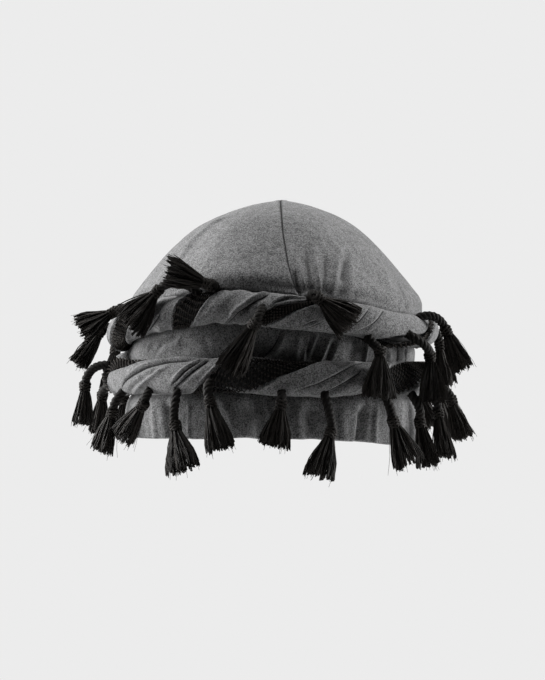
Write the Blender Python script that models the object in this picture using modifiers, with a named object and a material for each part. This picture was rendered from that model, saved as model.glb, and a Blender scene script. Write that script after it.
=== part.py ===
"""Turban hat: a sewn jersey cap wound with two twisted rolls, a braid trim and thread tassels.

Metres, +Z up. The hat faces -Y. The origin is the middle of the head opening, level with the front
of the hem. Angles run round the head in degrees: 0 is the front, 90 the wearer's left, at +X.
"""

import math

import bmesh
import bpy
from mathutils import Vector
from mathutils.bvhtree import BVHTree

MM = 0.001

# Sizes of the cap
HEAD_HALF_WIDTH = 77.5 * MM
HEAD_HALF_LENGTH = 97 * MM
CAP_HEIGHT = 135 * MM
CLOTH = 2 * MM
HEM_FLARE = 7.6 * MM
HEM_DEPTH = 22 * MM
HEM_FOLD = 2.6 * MM
CROWN_BULGE = 7.8 * MM
CROWN_FOLD = 2.4 * MM
TIP_SHIFT = 5.5 * MM

# Sizes of the rolls, their trim and the strip between them
ROLL_HALF_DEPTH = 8.5 * MM
UPPER_HALF_HEIGHT = 9.4 * MM
LOWER_HALF_HEIGHT = 10 * MM
STRIP_WIDTH = 17 * MM
STRIP_CLOTH = 2 * MM
STRIP_PUFF = 3.2 * MM
STRIP_TUCK = 0.72
TRIM_THICKNESS = 1.7 * MM
TRIM_RISE = 4.5 * MM

# Sizes of a tassel
STEM_LENGTH = 20 * MM
STEM_RADIUS = 2.2 * MM
KNOT_RADIUS = 3.2 * MM
KNOT_LENGTH = 6 * MM
SKIRT_LENGTH = 22 * MM
SKIRT_HALF_SPREAD = 9.4 * MM
SKIRT_HALF_DEPTH = 4.6 * MM

# Clearances
SEAT = 0.5 * MM
STRIP_SEAT = 0.4 * MM
TRIM_SEAT = 0.9 * MM
STEM_SEAT = 0.5 * MM
GAP = 0.3 * MM

# How finely each form is divided
CAP_SIDES = 44
STRIP_SIDES = 44
STATIONS_PER_TURN = 10
TASSEL_SIDES = 8

# Heights round the head. Columns: angle, share of HEM_DEPTH
HEM_EDGE = ((-90, -0.09), (-50, -0.06), (0, 0.0), (35, -0.11), (52, -0.22), (90, -0.2), (180, -0.12))
LOWER_RISE = (
    (-90, 0.93), (-50, 1.01), (-12, 1.1), (12, 0.97), (33, 1.01), (52, 0.96), (90, 0.93), (180, 0.91),
)

# Gap left between the two rolls. Columns: angle, share of STRIP_WIDTH
STRIP_GAP = (
    (-90, 0.36), (-60, 0.7), (-28, 0.98), (0, 0.99), (15, 0.93), (52, 0.5), (90, 0.48), (180, 0.33),
)

# Puffs of the strip. Columns: share of the gap up from its middle, share of STRIP_PUFF
STRIP_PUFFS = ((0.22, 1.0), (-0.25, 0.8))

# Where the trim faces straight out as it winds round each roll, in degrees
UPPER_CROSSINGS = (-62, -28, 4, 59, 134, 209)
LOWER_CROSSINGS = (-75, -3, 52, 132, 208)

# Bed of the trim along the twist. Columns: turns, degrees from the crossing line down to the bed's lower
# edge, and up to its upper edge
UPPER_BED = (
    (0, 38, 38), (0.5, 38, 38), (0.74, 50, 36), (0.86, 62, 66), (1, 66, 68), (1.2, 52, 60), (1.6, 36, 50),
    (1.9, 16, 44), (2.06, 17, 14), (2.22, 32, -4), (2.5, 38, 38), (2.75, 38, 38), (2.9, 54, 10), (3.06, 68, -24),
    (3.3, 50, 20), (3.6, 38, 38), (4.5, 38, 38), (5.4, 38, 38),
)
LOWER_BED = (
    (0, 44, 80), (0.25, 44, 60), (0.6, 44, 50), (0.72, 44, 84), (0.82, 44, 122), (0.94, 42, 112), (1.07, 26, 74),
    (1.2, 34, 46), (1.45, 44, 44), (1.7, 44, 62), (1.86, 44, 94), (2, 44, 76), (2.16, 44, 50), (2.6, 44, 44),
    (3.5, 44, 44), (4.5, 44, 44), (4.85, 44, 70),
)
BED_SHARES = (0, 1 / 3, 2 / 3, 1)
BED_SIDE = 5
TRIM_ROOM = 5

# How far the trim's upper edge stands off its bed. Columns: turns, share of TRIM_RISE
UPPER_LOOSE = ((0, 0), (1, 0), (2, 0), (3, 0), (4, 0), (5, 0))
LOWER_LOOSE = ((0, 0.3), (0.15, 0), (0.4, 0), (1, 0), (2, 0), (3, 0), (4, 0), (4.5, 0), (4.7, 0.5), (4.85, 0.7))

# Cloth of a roll from one side of the bed round to the other. Columns: share of the way, of the radius
ROLL_LOBES = ((0.16, 0.985), (0.33, 1.0), (0.5, 0.9), (0.67, 1.0), (0.84, 0.985))

# Folds that run up from the hem. Columns: angle, share of HEM_FOLD, half width in degrees
HEM_FOLDS = (
    (-70, 0.7, 9), (-46, 0.9, 8), (-12, 1.0, 8), (15, 0.8, 8), (38, 1.0, 8), (60, 0.8, 8), (86, 0.7, 9),
    (112, 0.9, 9), (140, 0.7, 10), (167, 1.0, 9), (196, 0.8, 9), (226, 0.9, 10), (258, 0.7, 9),
)

# Folds of the crown. Columns: angle, share of CROWN_FOLD, half width in degrees, deepest at, half rise
CROWN_FOLDS = (
    (11, 1.0, 9, 0.0, 0.34), (-42, 0.7, 11, 0.3, 0.4), (40, 0.6, 10, 0.3, 0.45), (66, 0.6, 10, 0.2, 0.35),
    (105, 0.7, 12, 0.1, 0.4), (150, 0.6, 12, 0.1, 0.4), (205, 0.7, 13, 0.1, 0.4), (250, 0.6, 12, 0.15, 0.4),
)

# Wall of the cap. Columns: share of the roll's half height from its centre, share of the flare or bulge
WALL_BESIDE_ROLL = ((0.45, 0.03), (0.8, 0.24), (1.1, 0.56))
WALL_OVER_ROLL = ((1.4, 0.88), (1.7, 1.0))

# Wall of the cap under the lower roll. Columns: share of the way down to the edge, share of the flare left
HEM_WALL = ((0.5, 0.82), (1.0, 1.0))

# How full the crown is over the upper roll. Columns: angle, share of CROWN_BULGE
CROWN_FULLNESS = ((-130, 0.95), (-90, 0.52), (-45, 0.85), (0, 1.0), (90, 1.0), (180, 1.0))

# Crown from its fullest ring to the tip. Columns: share of the rise, share of the girth
CROWN_RINGS = (
    (0.06, 0.984), (0.14, 0.942), (0.29, 0.855), (0.46, 0.752), (0.63, 0.63), (0.745, 0.525), (0.85, 0.38),
    (0.935, 0.215),
)
TIP_LEAN_POWER = 4

# Tassel stem's bow as a share of its length, and the neck as a share of the knot
STEM_BOW = 0.17
NECK = 0.8

# Tassel rings from the neck to the tips. Columns: share of the skirt, share of its spread
SKIRT_RINGS = ((0.66, 0.8), (1.0, 1.0))
LOCK_RELIEF = 0.1
LOCK_RAGGED = 0.06

# Tassels. Columns: roll, angle, angle round the roll from facing out to its top, share of the stem, the
# stem's lean from hanging down towards +angle and its tilt outwards, the skirt's lean and tilt, shares of
# the skirt's length and of its spread
TASSELS = (
    ("upper", -20, 95, 0.36, -150, 62, -108, 12, 0.95, 0.85),
    ("upper", -26, 82, 1.24, -91, 10, -42, 9, 1.0, 1.15),
    ("upper", -63, 68, 0.46, -74, 40, -32, 56, 0.82, 0.95),
    ("upper", -86, 30, 0.3, -20, 50, 0, 34, 0.9, 0.95),
    ("upper", -3, 5, 0.6, -24, 34, -28, 4, 1.15, 0.85),
    ("upper", 12.5, 76, 0.4, 80, 70, 51, 12, 0.9, 1.0),
    ("upper", 62, 65, 1.0, 60, 37, 16, 20, 0.95, 1.05),
    ("upper", 50.5, -20, 1.0, 48, 17, -3, 7, 1.0, 1.2),
    ("upper", 34, -72, 0.6, 12, 46, -7, 4, 1.0, 1.15),
    ("lower", -80, 50, 1.0, -27, 42, 2, 3, 0.85, 0.62),
    ("lower", -95, -30, 0.6, -50, 30, 0, 6, 0.85, 0.6),
    ("lower", -64, -56, 0.66, -19, 20, -14, 12, 0.9, 1.0),
    ("lower", -46, -56, 0.5, 11, 34, -42, 6, 0.95, 0.8),
    ("lower", -33, -56, 1.0, 7, 12, 19, 6, 1.0, 1.15),
    ("lower", -20, -26, 0.6, 10, 16, 17, 5, 1.05, 0.85),
    ("lower", 3, -56, 0.4, -6, 34, -11, 6, 0.9, 0.85),
    ("lower", 17, -56, 1.12, 2, 19, -19, 6, 1.0, 0.85),
    ("lower", 40, -56, 0.85, 4, 20, 21, 8, 1.0, 1.15),
    ("lower", 55, -56, 0.9, 23, 6, 4, 10, 1.0, 0.85),
    ("lower", 69.5, -42, 0.74, 16, 16, -4, 11, 1.0, 1.0),
    ("lower", 84, -22, 0.66, 16, 40, 0, 18, 0.9, 0.95),
    ("upper", 104, 10, 0.55, 10, 36, 6, 12, 0.95, 0.85),
    ("lower", 102, -30, 0.45, 6, 40, 14, 14, 0.95, 0.8),
    ("lower", 122, -20, 0.4, 0, 50, -20, 10, 0.95, 0.85),
    ("upper", 141, 15, 0.75, 14, 30, -6, 10, 1.0, 0.85),
    ("lower", 144, -20, 0.35, 0, 55, 24, 10, 0.9, 0.85),
    ("lower", 164, -20, 0.4, 4, 50, -18, 10, 0.95, 0.85),
    ("upper", 176, 10, 0.65, -6, 32, 8, 10, 1.0, 0.9),
    ("lower", 186, -20, 0.35, 6, 55, 22, 10, 0.9, 0.85),
    ("lower", 206, -20, 0.4, -4, 50, -22, 10, 0.95, 0.85),
    ("upper", 216, 10, 0.75, 8, 30, -8, 10, 1.0, 0.85),
    ("lower", 228, -20, 0.35, 4, 55, 20, 10, 0.9, 0.85),
    ("upper", 246, 5, 0.5, 4, 36, 14, 2, 0.95, 0.8),
    ("lower", 244, -40, 0.45, -6, 30, -6, 2, 0.9, 0.8),
)

# Looks. Columns: name, colour, roughness
JERSEY = ("heather_jersey", (0.19, 0.19, 0.19, 1), 0.92)
BRAID = ("black_braid", (0.012, 0.011, 0.01, 1), 0.85)
THREAD = ("black_thread", (0.015, 0.014, 0.013, 1), 0.8)


def clear_scene():
    for old in list(bpy.data.objects):
        bpy.data.objects.remove(old, do_unlink=True)


def make_material(look):
    name, colour, roughness = look
    material = bpy.data.materials.get(name)
    if material is None:
        material = bpy.data.materials.new(name)
        material.use_nodes = True
        shader = material.node_tree.nodes["Principled BSDF"]
        shader.inputs["Base Color"].default_value = colour
        shader.inputs["Roughness"].default_value = roughness
        shader.inputs["Metallic"].default_value = 0
    return material


def add_object(name, bm, look, collection):
    """Turns the bmesh into a named object in the hat's collection, with its faces pointing out."""
    bmesh.ops.recalc_face_normals(bm, faces=bm.faces)
    mesh = bpy.data.meshes.new(name)
    bm.to_mesh(mesh)
    bm.free()
    mesh.materials.append(make_material(look))
    mesh.shade_smooth()
    obj = bpy.data.objects.new(name, mesh)
    collection.objects.link(obj)
    return obj


def around(table, place, period=360, column=1):
    """Reads a column of a table as a smooth curve over its first column, closed after one period."""
    count = len(table)
    place = (place - table[0][0]) % period + table[0][0]

    def row(i):
        rounds, at = divmod(i, count)
        return table[at][0] + rounds * period, table[at][column]

    i = max(k for k in range(count) if table[k][0] <= place)
    (a0, v0), (a1, v1), (a2, v2), (a3, v3) = row(i - 1), row(i), row(i + 1), row(i + 2)
    t = (place - a1) / (a2 - a1)
    slope_1 = (v2 - v0) / (a2 - a0) * (a2 - a1)
    slope_2 = (v3 - v1) / (a3 - a1) * (a2 - a1)
    return (
        v1 * (2 * t**3 - 3 * t**2 + 1)
        + slope_1 * (t**3 - 2 * t**2 + t)
        + v2 * (3 * t**2 - 2 * t**3)
        + slope_2 * (t**3 - t**2)
    )


def dip(angle, centre, half_width):
    """A smooth fold's depth, from 1 at its centre to 0 at its sides."""
    away = (angle - centre + 180) % 360 - 180
    return math.exp(-((away / half_width) ** 2))


def hem_z(angle):
    return HEM_DEPTH * around(HEM_EDGE, angle)


def lower_z(angle):
    return HEM_DEPTH * around(LOWER_RISE, angle) + LOWER_HALF_HEIGHT


def upper_z(angle):
    return lower_z(angle) + LOWER_HALF_HEIGHT + STRIP_WIDTH * around(STRIP_GAP, angle) + UPPER_HALF_HEIGHT


# Each roll's height round the head, half height, crossings, bed and looseness of its trim
ROLLS = {
    "upper": (upper_z, UPPER_HALF_HEIGHT, UPPER_CROSSINGS, UPPER_BED, UPPER_LOOSE),
    "lower": (lower_z, LOWER_HALF_HEIGHT, LOWER_CROSSINGS, LOWER_BED, LOWER_LOOSE),
}


def wall(angle):
    """Point of the cap's outer wall behind the rolls, with the directions outwards and sideways there."""
    turn = math.radians(angle)
    half_width = HEAD_HALF_WIDTH + CLOTH
    half_length = HEAD_HALF_LENGTH + CLOTH
    point = Vector((half_width * math.sin(turn), -half_length * math.cos(turn), 0))
    out = Vector((half_length * math.sin(turn), -half_width * math.cos(turn), 0)).normalized()
    return point, out, Vector((-out.y, out.x, 0))


def wall_point(angle, out, z):
    point, outwards, _ = wall(angle)
    return point + outwards * out + Vector((0, 0, z))


def join_rings(bm, rings, closed):
    """Faces between each ring of vertices and the next, and back to the first where the row is closed."""
    pairs = list(zip(rings, rings[1:]))
    if closed:
        pairs.append((rings[-1], rings[0]))
    for first, second in pairs:
        for i in range(len(first)):
            j = (i + 1) % len(first)
            bm.faces.new((first[i], first[j], second[j], second[i]))


def hem_fold(angle):
    return HEM_FOLD * sum(share * dip(angle, centre, width) for centre, share, width in HEM_FOLDS)


def crown_fold(angle, rise):
    return CROWN_FOLD * sum(
        share * dip(angle, centre, width) * math.exp(-(((rise - deepest) / half_rise) ** 2))
        for centre, share, width, deepest, half_rise in CROWN_FOLDS
    )


def cap_column(angle):
    """Points up the cap's outer wall at one angle, from the hem to just under the tip."""
    low, high = lower_z(angle), upper_z(angle)
    under = low - WALL_BESIDE_ROLL[-1][0] * LOWER_HALF_HEIGHT
    edge = hem_z(angle)
    flare = WALL_BESIDE_ROLL[-1][1]
    points = []
    for share, fullness in reversed(HEM_WALL):
        out = HEM_FLARE * (flare + (1 - flare) * fullness) - hem_fold(angle) * share
        points.append(wall_point(angle, out, under + (edge - under) * share))
    for share, fullness in reversed(WALL_BESIDE_ROLL):
        points.append(wall_point(angle, HEM_FLARE * fullness, low - LOWER_HALF_HEIGHT * share))
    points.append(wall_point(angle, 0, low))
    points.append(wall_point(angle, 0, high))
    bulge = CROWN_BULGE * around(CROWN_FULLNESS, angle)
    for share, fullness in WALL_BESIDE_ROLL:
        points.append(wall_point(angle, bulge * fullness, high + UPPER_HALF_HEIGHT * share))
    for share, fullness in WALL_OVER_ROLL:
        out = (bulge - crown_fold(angle, 0)) * fullness
        points.append(wall_point(angle, out, high + UPPER_HALF_HEIGHT * share))
    foot = high + UPPER_HALF_HEIGHT * WALL_OVER_ROLL[-1][0]
    for rise, girth in CROWN_RINGS:
        full = wall_point(angle, bulge - crown_fold(angle, rise), 0) * girth
        lean = TIP_SHIFT * rise**TIP_LEAN_POWER
        points.append(full + Vector((lean, 0, foot + (CAP_HEIGHT - foot) * rise)))
    return points


def make_cap(collection):
    """The sewn cap: an open skin from hem to tip, given its thickness inwards."""
    bm = bmesh.new()
    columns = [cap_column(360 * i / CAP_SIDES) for i in range(CAP_SIDES)]
    rings = [[bm.verts.new(column[k]) for column in columns] for k in range(len(columns[0]))]
    join_rings(bm, rings, closed=False)
    tip = bm.verts.new((TIP_SHIFT, 0, CAP_HEIGHT))
    top = rings[-1]
    for i in range(CAP_SIDES):
        bm.faces.new((top[i], top[(i + 1) % CAP_SIDES], tip))
    cap = add_object("cap", bm, JERSEY, collection)
    thickness = cap.modifiers.new("Cloth", "SOLIDIFY")
    thickness.thickness = CLOTH
    thickness.offset = -1
    return cap


def twist_stations(crossings):
    """Angles round the head, each with how many turns the roll has made there, evenly spaced in turn."""
    starts = list(crossings) + [crossings[0] + 360]
    table = [(start, 360 * i) for i, start in enumerate(starts)]
    found = []
    for i in range(len(crossings)):
        before = starts[i] - starts[i - 1] if i else starts[-1] - starts[-2]
        here = starts[i + 1] - starts[i]
        after = starts[i + 2] - starts[i + 1] if i + 2 < len(starts) else starts[1] - starts[0]
        slope_1 = (before + here) / 2
        slope_2 = (here + after) / 2
        for step in range(STATIONS_PER_TURN):
            t = step / STATIONS_PER_TURN
            angle = (
                table[i][0] * (2 * t**3 - 3 * t**2 + 1)
                + slope_1 * (t**3 - 2 * t**2 + t)
                + table[i + 1][0] * (3 * t**2 - 2 * t**3)
                + slope_2 * (t**3 - t**2)
            )
            found.append((angle, i + t))
    return found


def roll_point(level, half_height, angle, around_roll, inset):
    """Point of a roll's skin, `inset` under it, at this angle round the head and round the roll."""
    turn = math.radians(around_roll)
    out = SEAT + ROLL_HALF_DEPTH + (ROLL_HALF_DEPTH - inset) * math.cos(turn)
    return wall_point(angle, out, level(angle) + (half_height - inset) * math.sin(turn))


def roll_section(low, high, loose):
    """The roll's cloth round one section, as angle from the crossing line and inset under the skin."""
    rows = [(low + (high - low) * share, TRIM_THICKNESS + TRIM_SEAT) for share in BED_SHARES]
    start = high + BED_SIDE
    span = 360 - (high - low) - 2 * BED_SIDE
    rows.append((start, GAP))
    rows.extend((start + span * share, ROLL_HALF_DEPTH * (1 - radius)) for share, radius in ROLL_LOBES)
    rows.append((start + span, GAP))
    return rows


def trim_section(low, high, loose):
    """The flat braid in its bed, as angle from the crossing line and inset under the roll's skin."""
    start = low + TRIM_ROOM
    span = high - low - 2 * TRIM_ROOM
    rows = [(start + span * share, TRIM_THICKNESS) for share in BED_SHARES]
    rows.extend((start + span * share, -TRIM_RISE * loose * share) for share in reversed(BED_SHARES))
    return rows


def make_winding(name, roll, section, look, collection):
    """A closed ring round the head whose section turns with the twist."""
    level, half_height, crossings, bed, looseness = ROLLS[roll]
    bm = bmesh.new()
    rings = []
    for angle, turns in twist_stations(crossings):
        low = -around(bed, turns, len(crossings), 1)
        high = around(bed, turns, len(crossings), 2)
        loose = around(looseness, turns, len(crossings))
        ring = []
        for at, inset in section(low, high, loose):
            ring.append(roll_point(level, half_height, angle, 360 * turns + at, inset))
        rings.append([bm.verts.new(point) for point in ring])
    join_rings(bm, rings, closed=True)
    bmesh.ops.triangulate(bm, faces=bm.faces, quad_method="SHORT_EDGE")
    return add_object(name, bm, look, collection)


def make_strip(collection):
    """The gathered strip: a closed ring of cloth that puffs out between the rolls."""
    bm = bmesh.new()
    rings = []
    front = STRIP_SEAT + STRIP_CLOTH
    for i in range(STRIP_SIDES):
        angle = 360 * i / STRIP_SIDES
        low = lower_z(angle) + LOWER_HALF_HEIGHT * STRIP_TUCK
        high = upper_z(angle) - UPPER_HALF_HEIGHT * STRIP_TUCK
        middle = (low + high) / 2
        gap = around(STRIP_GAP, angle)
        ring = [
            wall_point(angle, STRIP_SEAT, low),
            wall_point(angle, STRIP_SEAT, high),
            wall_point(angle, front, high),
        ]
        for rise, puff in STRIP_PUFFS:
            ring.append(wall_point(angle, front + STRIP_PUFF * gap * puff, middle + STRIP_WIDTH * gap * rise))
        ring.append(wall_point(angle, front, low))
        rings.append([bm.verts.new(point) for point in ring])
    join_rings(bm, rings, closed=True)
    return add_object("wrap_band", bm, JERSEY, collection)


def hanging(angle, lean, tilt):
    """Direction that leans from hanging down towards +angle, and tilts away from the head."""
    _, out, side = wall(angle)
    lean, tilt = math.radians(lean), math.radians(tilt)
    down = side * math.sin(lean) - Vector((0, 0, math.cos(lean)))
    return down * math.cos(tilt) + out * math.sin(tilt)


def surface_tree(obj):
    """The object's faces, ready to be met by a line."""
    corners = [vertex.co for vertex in obj.data.vertices]
    return BVHTree.FromPolygons(corners, [face.vertices for face in obj.data.polygons])


def seat_on_roll(surfaces, level, angle, around_roll):
    """Where a line from outside to the roll's middle first meets cloth or trim, and how that face looks."""
    turn = math.radians(around_roll)
    _, out, _ = wall(angle)
    away = out * math.cos(turn) + Vector((0, 0, math.sin(turn)))
    middle = wall_point(angle, SEAT + ROLL_HALF_DEPTH, level(angle))
    reach = 2 * (ROLL_HALF_DEPTH + UPPER_HALF_HEIGHT + LOWER_HALF_HEIGHT)
    hits = [surface.ray_cast(middle + away * reach, -away, reach) for surface in surfaces]
    place, facing, _, _ = min((hit for hit in hits if hit[0] is not None), key=lambda hit: hit[3])
    return place, facing


def tassel_spine(row, surfaces):
    """Centres of the tassel's rings with their two half sizes and how ragged they are, root first."""
    roll, angle, around_roll, stem, stem_lean, stem_tilt, skirt_lean, skirt_tilt, length, spread = row
    place, leaving = seat_on_roll(surfaces[roll], ROLLS[roll][0], angle, around_roll)
    root = place + leaving * STEM_SEAT
    knot = root + hanging(angle, stem_lean, stem_tilt) * STEM_LENGTH * stem
    down = hanging(angle, skirt_lean, skirt_tilt)
    top = knot - down * KNOT_LENGTH / 2
    middle = (root + top) / 2 + leaving * (top - root).length * STEM_BOW
    spine = [
        (root, STEM_RADIUS, STEM_RADIUS, 0),
        (middle, STEM_RADIUS, STEM_RADIUS, 0),
        (top, STEM_RADIUS, STEM_RADIUS, 0),
        (knot, KNOT_RADIUS, KNOT_RADIUS, 0),
        (knot + down * KNOT_LENGTH / 2, KNOT_RADIUS * NECK, KNOT_RADIUS * NECK, 0),
    ]
    neck = spine[-1][0]
    for share, width in SKIRT_RINGS:
        point = neck + down * SKIRT_LENGTH * length * share
        spine.append((point, SKIRT_HALF_SPREAD * width * spread, SKIRT_HALF_DEPTH * width, share))
    return spine, leaving


def make_tassel(number, row, surfaces, collection):
    """One tassel: braided stem, knot and a flared skirt in locks, as one closed loft."""
    spine, leaving = tassel_spine(row, surfaces)
    centres = [entry[0] for entry in spine]
    down = (centres[-1] - centres[-2]).normalized()
    _, out, _ = wall(row[1])
    side = down.cross(out).normalized()
    bm = bmesh.new()
    rings = []
    for k in reversed(range(len(spine))):
        centre, half_spread, half_depth, looseness = spine[k]
        if k == 0:
            along = leaving
        elif k == len(spine) - 1:
            along = down
        else:
            along = (centres[k + 1] - centres[k - 1]).normalized()
        side = (side - along * side.dot(along)).normalized()
        deep = along.cross(side)
        ring = []
        for i in range(TASSEL_SIDES):
            turn = 2 * math.pi * i / TASSEL_SIDES
            lock = (-1) ** i * looseness
            size = 1 + LOCK_RELIEF * lock
            spot = side * math.cos(turn) * half_spread * size + deep * math.sin(turn) * half_depth * size
            ring.append(bm.verts.new(centre + spot + along * SKIRT_LENGTH * LOCK_RAGGED * lock))
        rings.append(ring)
    join_rings(bm, rings, closed=False)
    bm.faces.new(rings[0])
    bm.faces.new(rings[-1])
    return add_object(f"tassel_{number:02d}", bm, THREAD, collection)


def make_hat():
    clear_scene()
    hat = bpy.data.collections.new("tasselled_turban_hat")
    bpy.context.scene.collection.children.link(hat)
    make_cap(hat)
    surfaces = {}
    for name in ROLLS:
        roll = make_winding(name + "_roll", name, roll_section, JERSEY, hat)
        trim = make_winding(name + "_trim", name, trim_section, BRAID, hat)
        surfaces[name] = (surface_tree(roll), surface_tree(trim))
    make_strip(hat)
    for number, row in enumerate(TASSELS, 1):
        make_tassel(number, row, surfaces, hat)


make_hat()
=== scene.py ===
import math

import bpy
import numpy as np
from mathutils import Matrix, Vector
from mathutils.bvhtree import BVHTree


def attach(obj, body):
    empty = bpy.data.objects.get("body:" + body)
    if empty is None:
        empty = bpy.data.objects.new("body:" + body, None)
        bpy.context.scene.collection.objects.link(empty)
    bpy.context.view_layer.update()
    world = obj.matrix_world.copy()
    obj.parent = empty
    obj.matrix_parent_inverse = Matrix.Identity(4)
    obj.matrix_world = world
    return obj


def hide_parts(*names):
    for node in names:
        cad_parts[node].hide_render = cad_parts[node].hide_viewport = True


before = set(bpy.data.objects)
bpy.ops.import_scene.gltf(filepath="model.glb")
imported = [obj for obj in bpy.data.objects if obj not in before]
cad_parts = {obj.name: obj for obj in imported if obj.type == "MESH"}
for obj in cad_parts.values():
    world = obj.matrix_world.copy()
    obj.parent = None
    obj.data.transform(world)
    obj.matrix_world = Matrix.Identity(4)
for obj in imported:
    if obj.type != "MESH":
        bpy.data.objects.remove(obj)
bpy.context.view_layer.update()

# Camera
# A long lens straight in front of the hat and level with its middle, as in the photograph, so that
# what is drawn over the cloth by its place in the photograph falls where it shows there.
PHOTO_WIDTH = 545
PHOTO_HEIGHT = 680
FOCAL_PIXELS = 2564
SENSOR = 36
CAMERA_PLACE = (0, -1.5, 0.053)

camera = bpy.data.objects.new("camera", bpy.data.cameras.new("camera"))
camera.data.sensor_width = SENSOR
camera.data.lens = FOCAL_PIXELS * SENSOR / PHOTO_HEIGHT
camera.location = CAMERA_PLACE
camera.rotation_euler = (math.radians(90), 0, 0)
bpy.context.scene.collection.objects.link(camera)
bpy.context.scene.camera = camera


def seen_from_camera(points):
    """Where points show in the photograph, in its pixels from the top left corner."""
    x, y, z = np.moveaxis(points - np.array(CAMERA_PLACE), -1, 0)
    across = PHOTO_WIDTH / 2 + FOCAL_PIXELS * x / y
    down = PHOTO_HEIGHT / 2 - FOCAL_PIXELS * z / y
    return np.stack((across, down), axis=-1)


# Cap
# The hat's base is a pointed dome of soft heather grey jersey, cut in two halves and joined by one
# seam over the middle from front to back. Its edge is turned in as a plain hem with shallow folds.
MM = 0.001
HEAD_HALF_WIDTH = 77.5 * MM
HEAD_HALF_LENGTH = 97 * MM
CAP_HEIGHT = 135 * MM
CLOTH = 2 * MM
HEM_FLARE = 7.6 * MM
HEM_DEPTH = 22 * MM
HEM_FOLD = 2.6 * MM
CROWN_BULGE = 7.8 * MM
CROWN_FOLD = 2.4 * MM
TIP_SHIFT = 5.5 * MM
TIP_LEAN_POWER = 4
UPPER_HALF_HEIGHT = 9.4 * MM
LOWER_HALF_HEIGHT = 10 * MM
STRIP_WIDTH = 17 * MM

# Mesh of the cap: points round it and their crowding to the front, steps where it shows and where it is
# hidden, which rings of its form the rolls hide, and every how many rings its inside has one
CAP_COLUMNS = 440
FRONT_CROWDING = 28
CAP_STEP = 1.15 * MM
HIDDEN_STEP = 4 * MM
HIDDEN_RINGS = range(3, 9)
INSIDE_EVERY = 6

# Creases: how far a tuck's shade reaches, how far apart two layers of cloth lie, how many pixels from a mark
# a point may show and how these are weighed, the step of a traced line, and its shares that rise and fade
FOLD_REACH = 1.5 * MM
LAYER_APART = 3 * MM
MARK_REACH = 2
MARK_BLUR = 1.5
LINE_STEP = 1.5 * MM
CREASE_RISE = 0.4
CREASE_FADE = 0.15

# Section of each kind of crease. Columns: height, middle and half width, from its line to its left
CREASE_SHAPES = {
    "ridge": ((1, 0, 1),),
    "dent": ((-1, 0, 1),),
    "tuck": ((0.6, 1.1, 0.8), (-0.7, 0, 0.7), (-0.35, -0.8, 0.9)),
}

# Heights round the head. Columns: angle, share of HEM_DEPTH
HEM_EDGE = ((-90, -0.09), (-50, -0.06), (0, 0.0), (35, -0.11), (52, -0.22), (90, -0.2), (180, -0.12))
LOWER_RISE = (
    (-90, 0.93), (-50, 1.01), (-12, 1.1), (12, 0.97), (33, 1.01), (52, 0.96), (90, 0.93), (180, 0.91),
)

# Gap left between the two rolls. Columns: angle, share of STRIP_WIDTH
STRIP_GAP = (
    (-90, 0.36), (-60, 0.7), (-28, 0.98), (0, 0.99), (15, 0.93), (52, 0.5), (90, 0.48), (180, 0.33),
)

# Folds that run up from the hem. Columns: angle, share of HEM_FOLD, half width in degrees
HEM_FOLDS = (
    (-70, 0.7, 9), (-46, 0.9, 8), (-12, 1.0, 8), (15, 0.8, 8), (38, 1.0, 8), (60, 0.8, 8), (86, 0.7, 9),
    (112, 0.9, 9), (140, 0.7, 10), (167, 1.0, 9), (196, 0.8, 9), (226, 0.9, 10), (258, 0.7, 9),
)

# Folds of the crown. Columns: angle, share of CROWN_FOLD, half width in degrees, deepest at, half rise
CROWN_FOLDS = (
    (11, 1.0, 9, 0.0, 0.34), (-42, 0.7, 11, 0.3, 0.4), (40, 0.6, 10, 0.3, 0.45), (66, 0.6, 10, 0.2, 0.35),
    (105, 0.7, 12, 0.1, 0.4), (150, 0.6, 12, 0.1, 0.4), (205, 0.7, 13, 0.1, 0.4), (250, 0.6, 12, 0.15, 0.4),
)

# Wall of the cap. Columns: share of the roll's half height from its centre, share of the flare or bulge
WALL_BESIDE_ROLL = ((0.45, 0.03), (0.8, 0.24), (1.1, 0.56))

# Wall over the upper roll, where the bulge is full: shares of the roll's half height above its centre
WALL_OVER_ROLL = (1.4, 1.7)

# Wall under the lower roll. Columns: share of the way down to the edge, share of the flare left
HEM_WALL = ((0.5, 0.82), (1.0, 1.0))

# How full the crown is over the upper roll. Columns: angle, share of CROWN_BULGE
CROWN_FULLNESS = ((-130, 0.95), (-90, 0.52), (-45, 0.85), (0, 1.0), (90, 1.0), (180, 1.0))

# How straight the crown drops to the upper roll, from 0, curling in over it, to 1, and the shares of the
# roll's half height between which it does
CROWN_UPRIGHT = 0.9
UPRIGHT_ABOVE = (0.7, 1.1)

# Crown from its fullest ring to the tip. Columns: share of the rise, share of the girth
CROWN_RINGS = (
    (0.06, 0.984), (0.14, 0.942), (0.29, 0.855), (0.46, 0.752), (0.63, 0.63), (0.745, 0.525), (0.85, 0.38),
    (0.935, 0.215),
)

# Fuller front of the crown: share of the girth, middle and half width round the head, and up the rise
FRONT_FULL = (0.012, 0, 60, 0.2, 0.17)

# The seam down the front, by its pixels in the photograph, and where it lies in the cloth: within so many
# degrees of the middle, and from this ring up
FRONT_SEAM = ((280.5, 201), (283, 232), (288, 263), (293, 281), (299, 296), (301, 304))
SEAM_SEARCH = 60
SEAM_FOOT = 32

# How far beside the seam the cloth puffs up, how widely and how high, and how widely and deep it is drawn in
SEAM_PUFF_APART = 2.2 * MM
SEAM_PUFF_WIDTH = 1.3 * MM
SEAM_PUFF = 0.28 * MM
SEAM_WIDTH = 0.9 * MM
SEAM_DEPTH = 0.45 * MM

# Unevenness of the cap. Columns: height, swells round the head, swells up the cap
CAP_SWELLS = ((0.35 * MM, 26, 9), (0.12 * MM, 90, 24))
SMOOTH_TIP = 6 * MM

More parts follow.
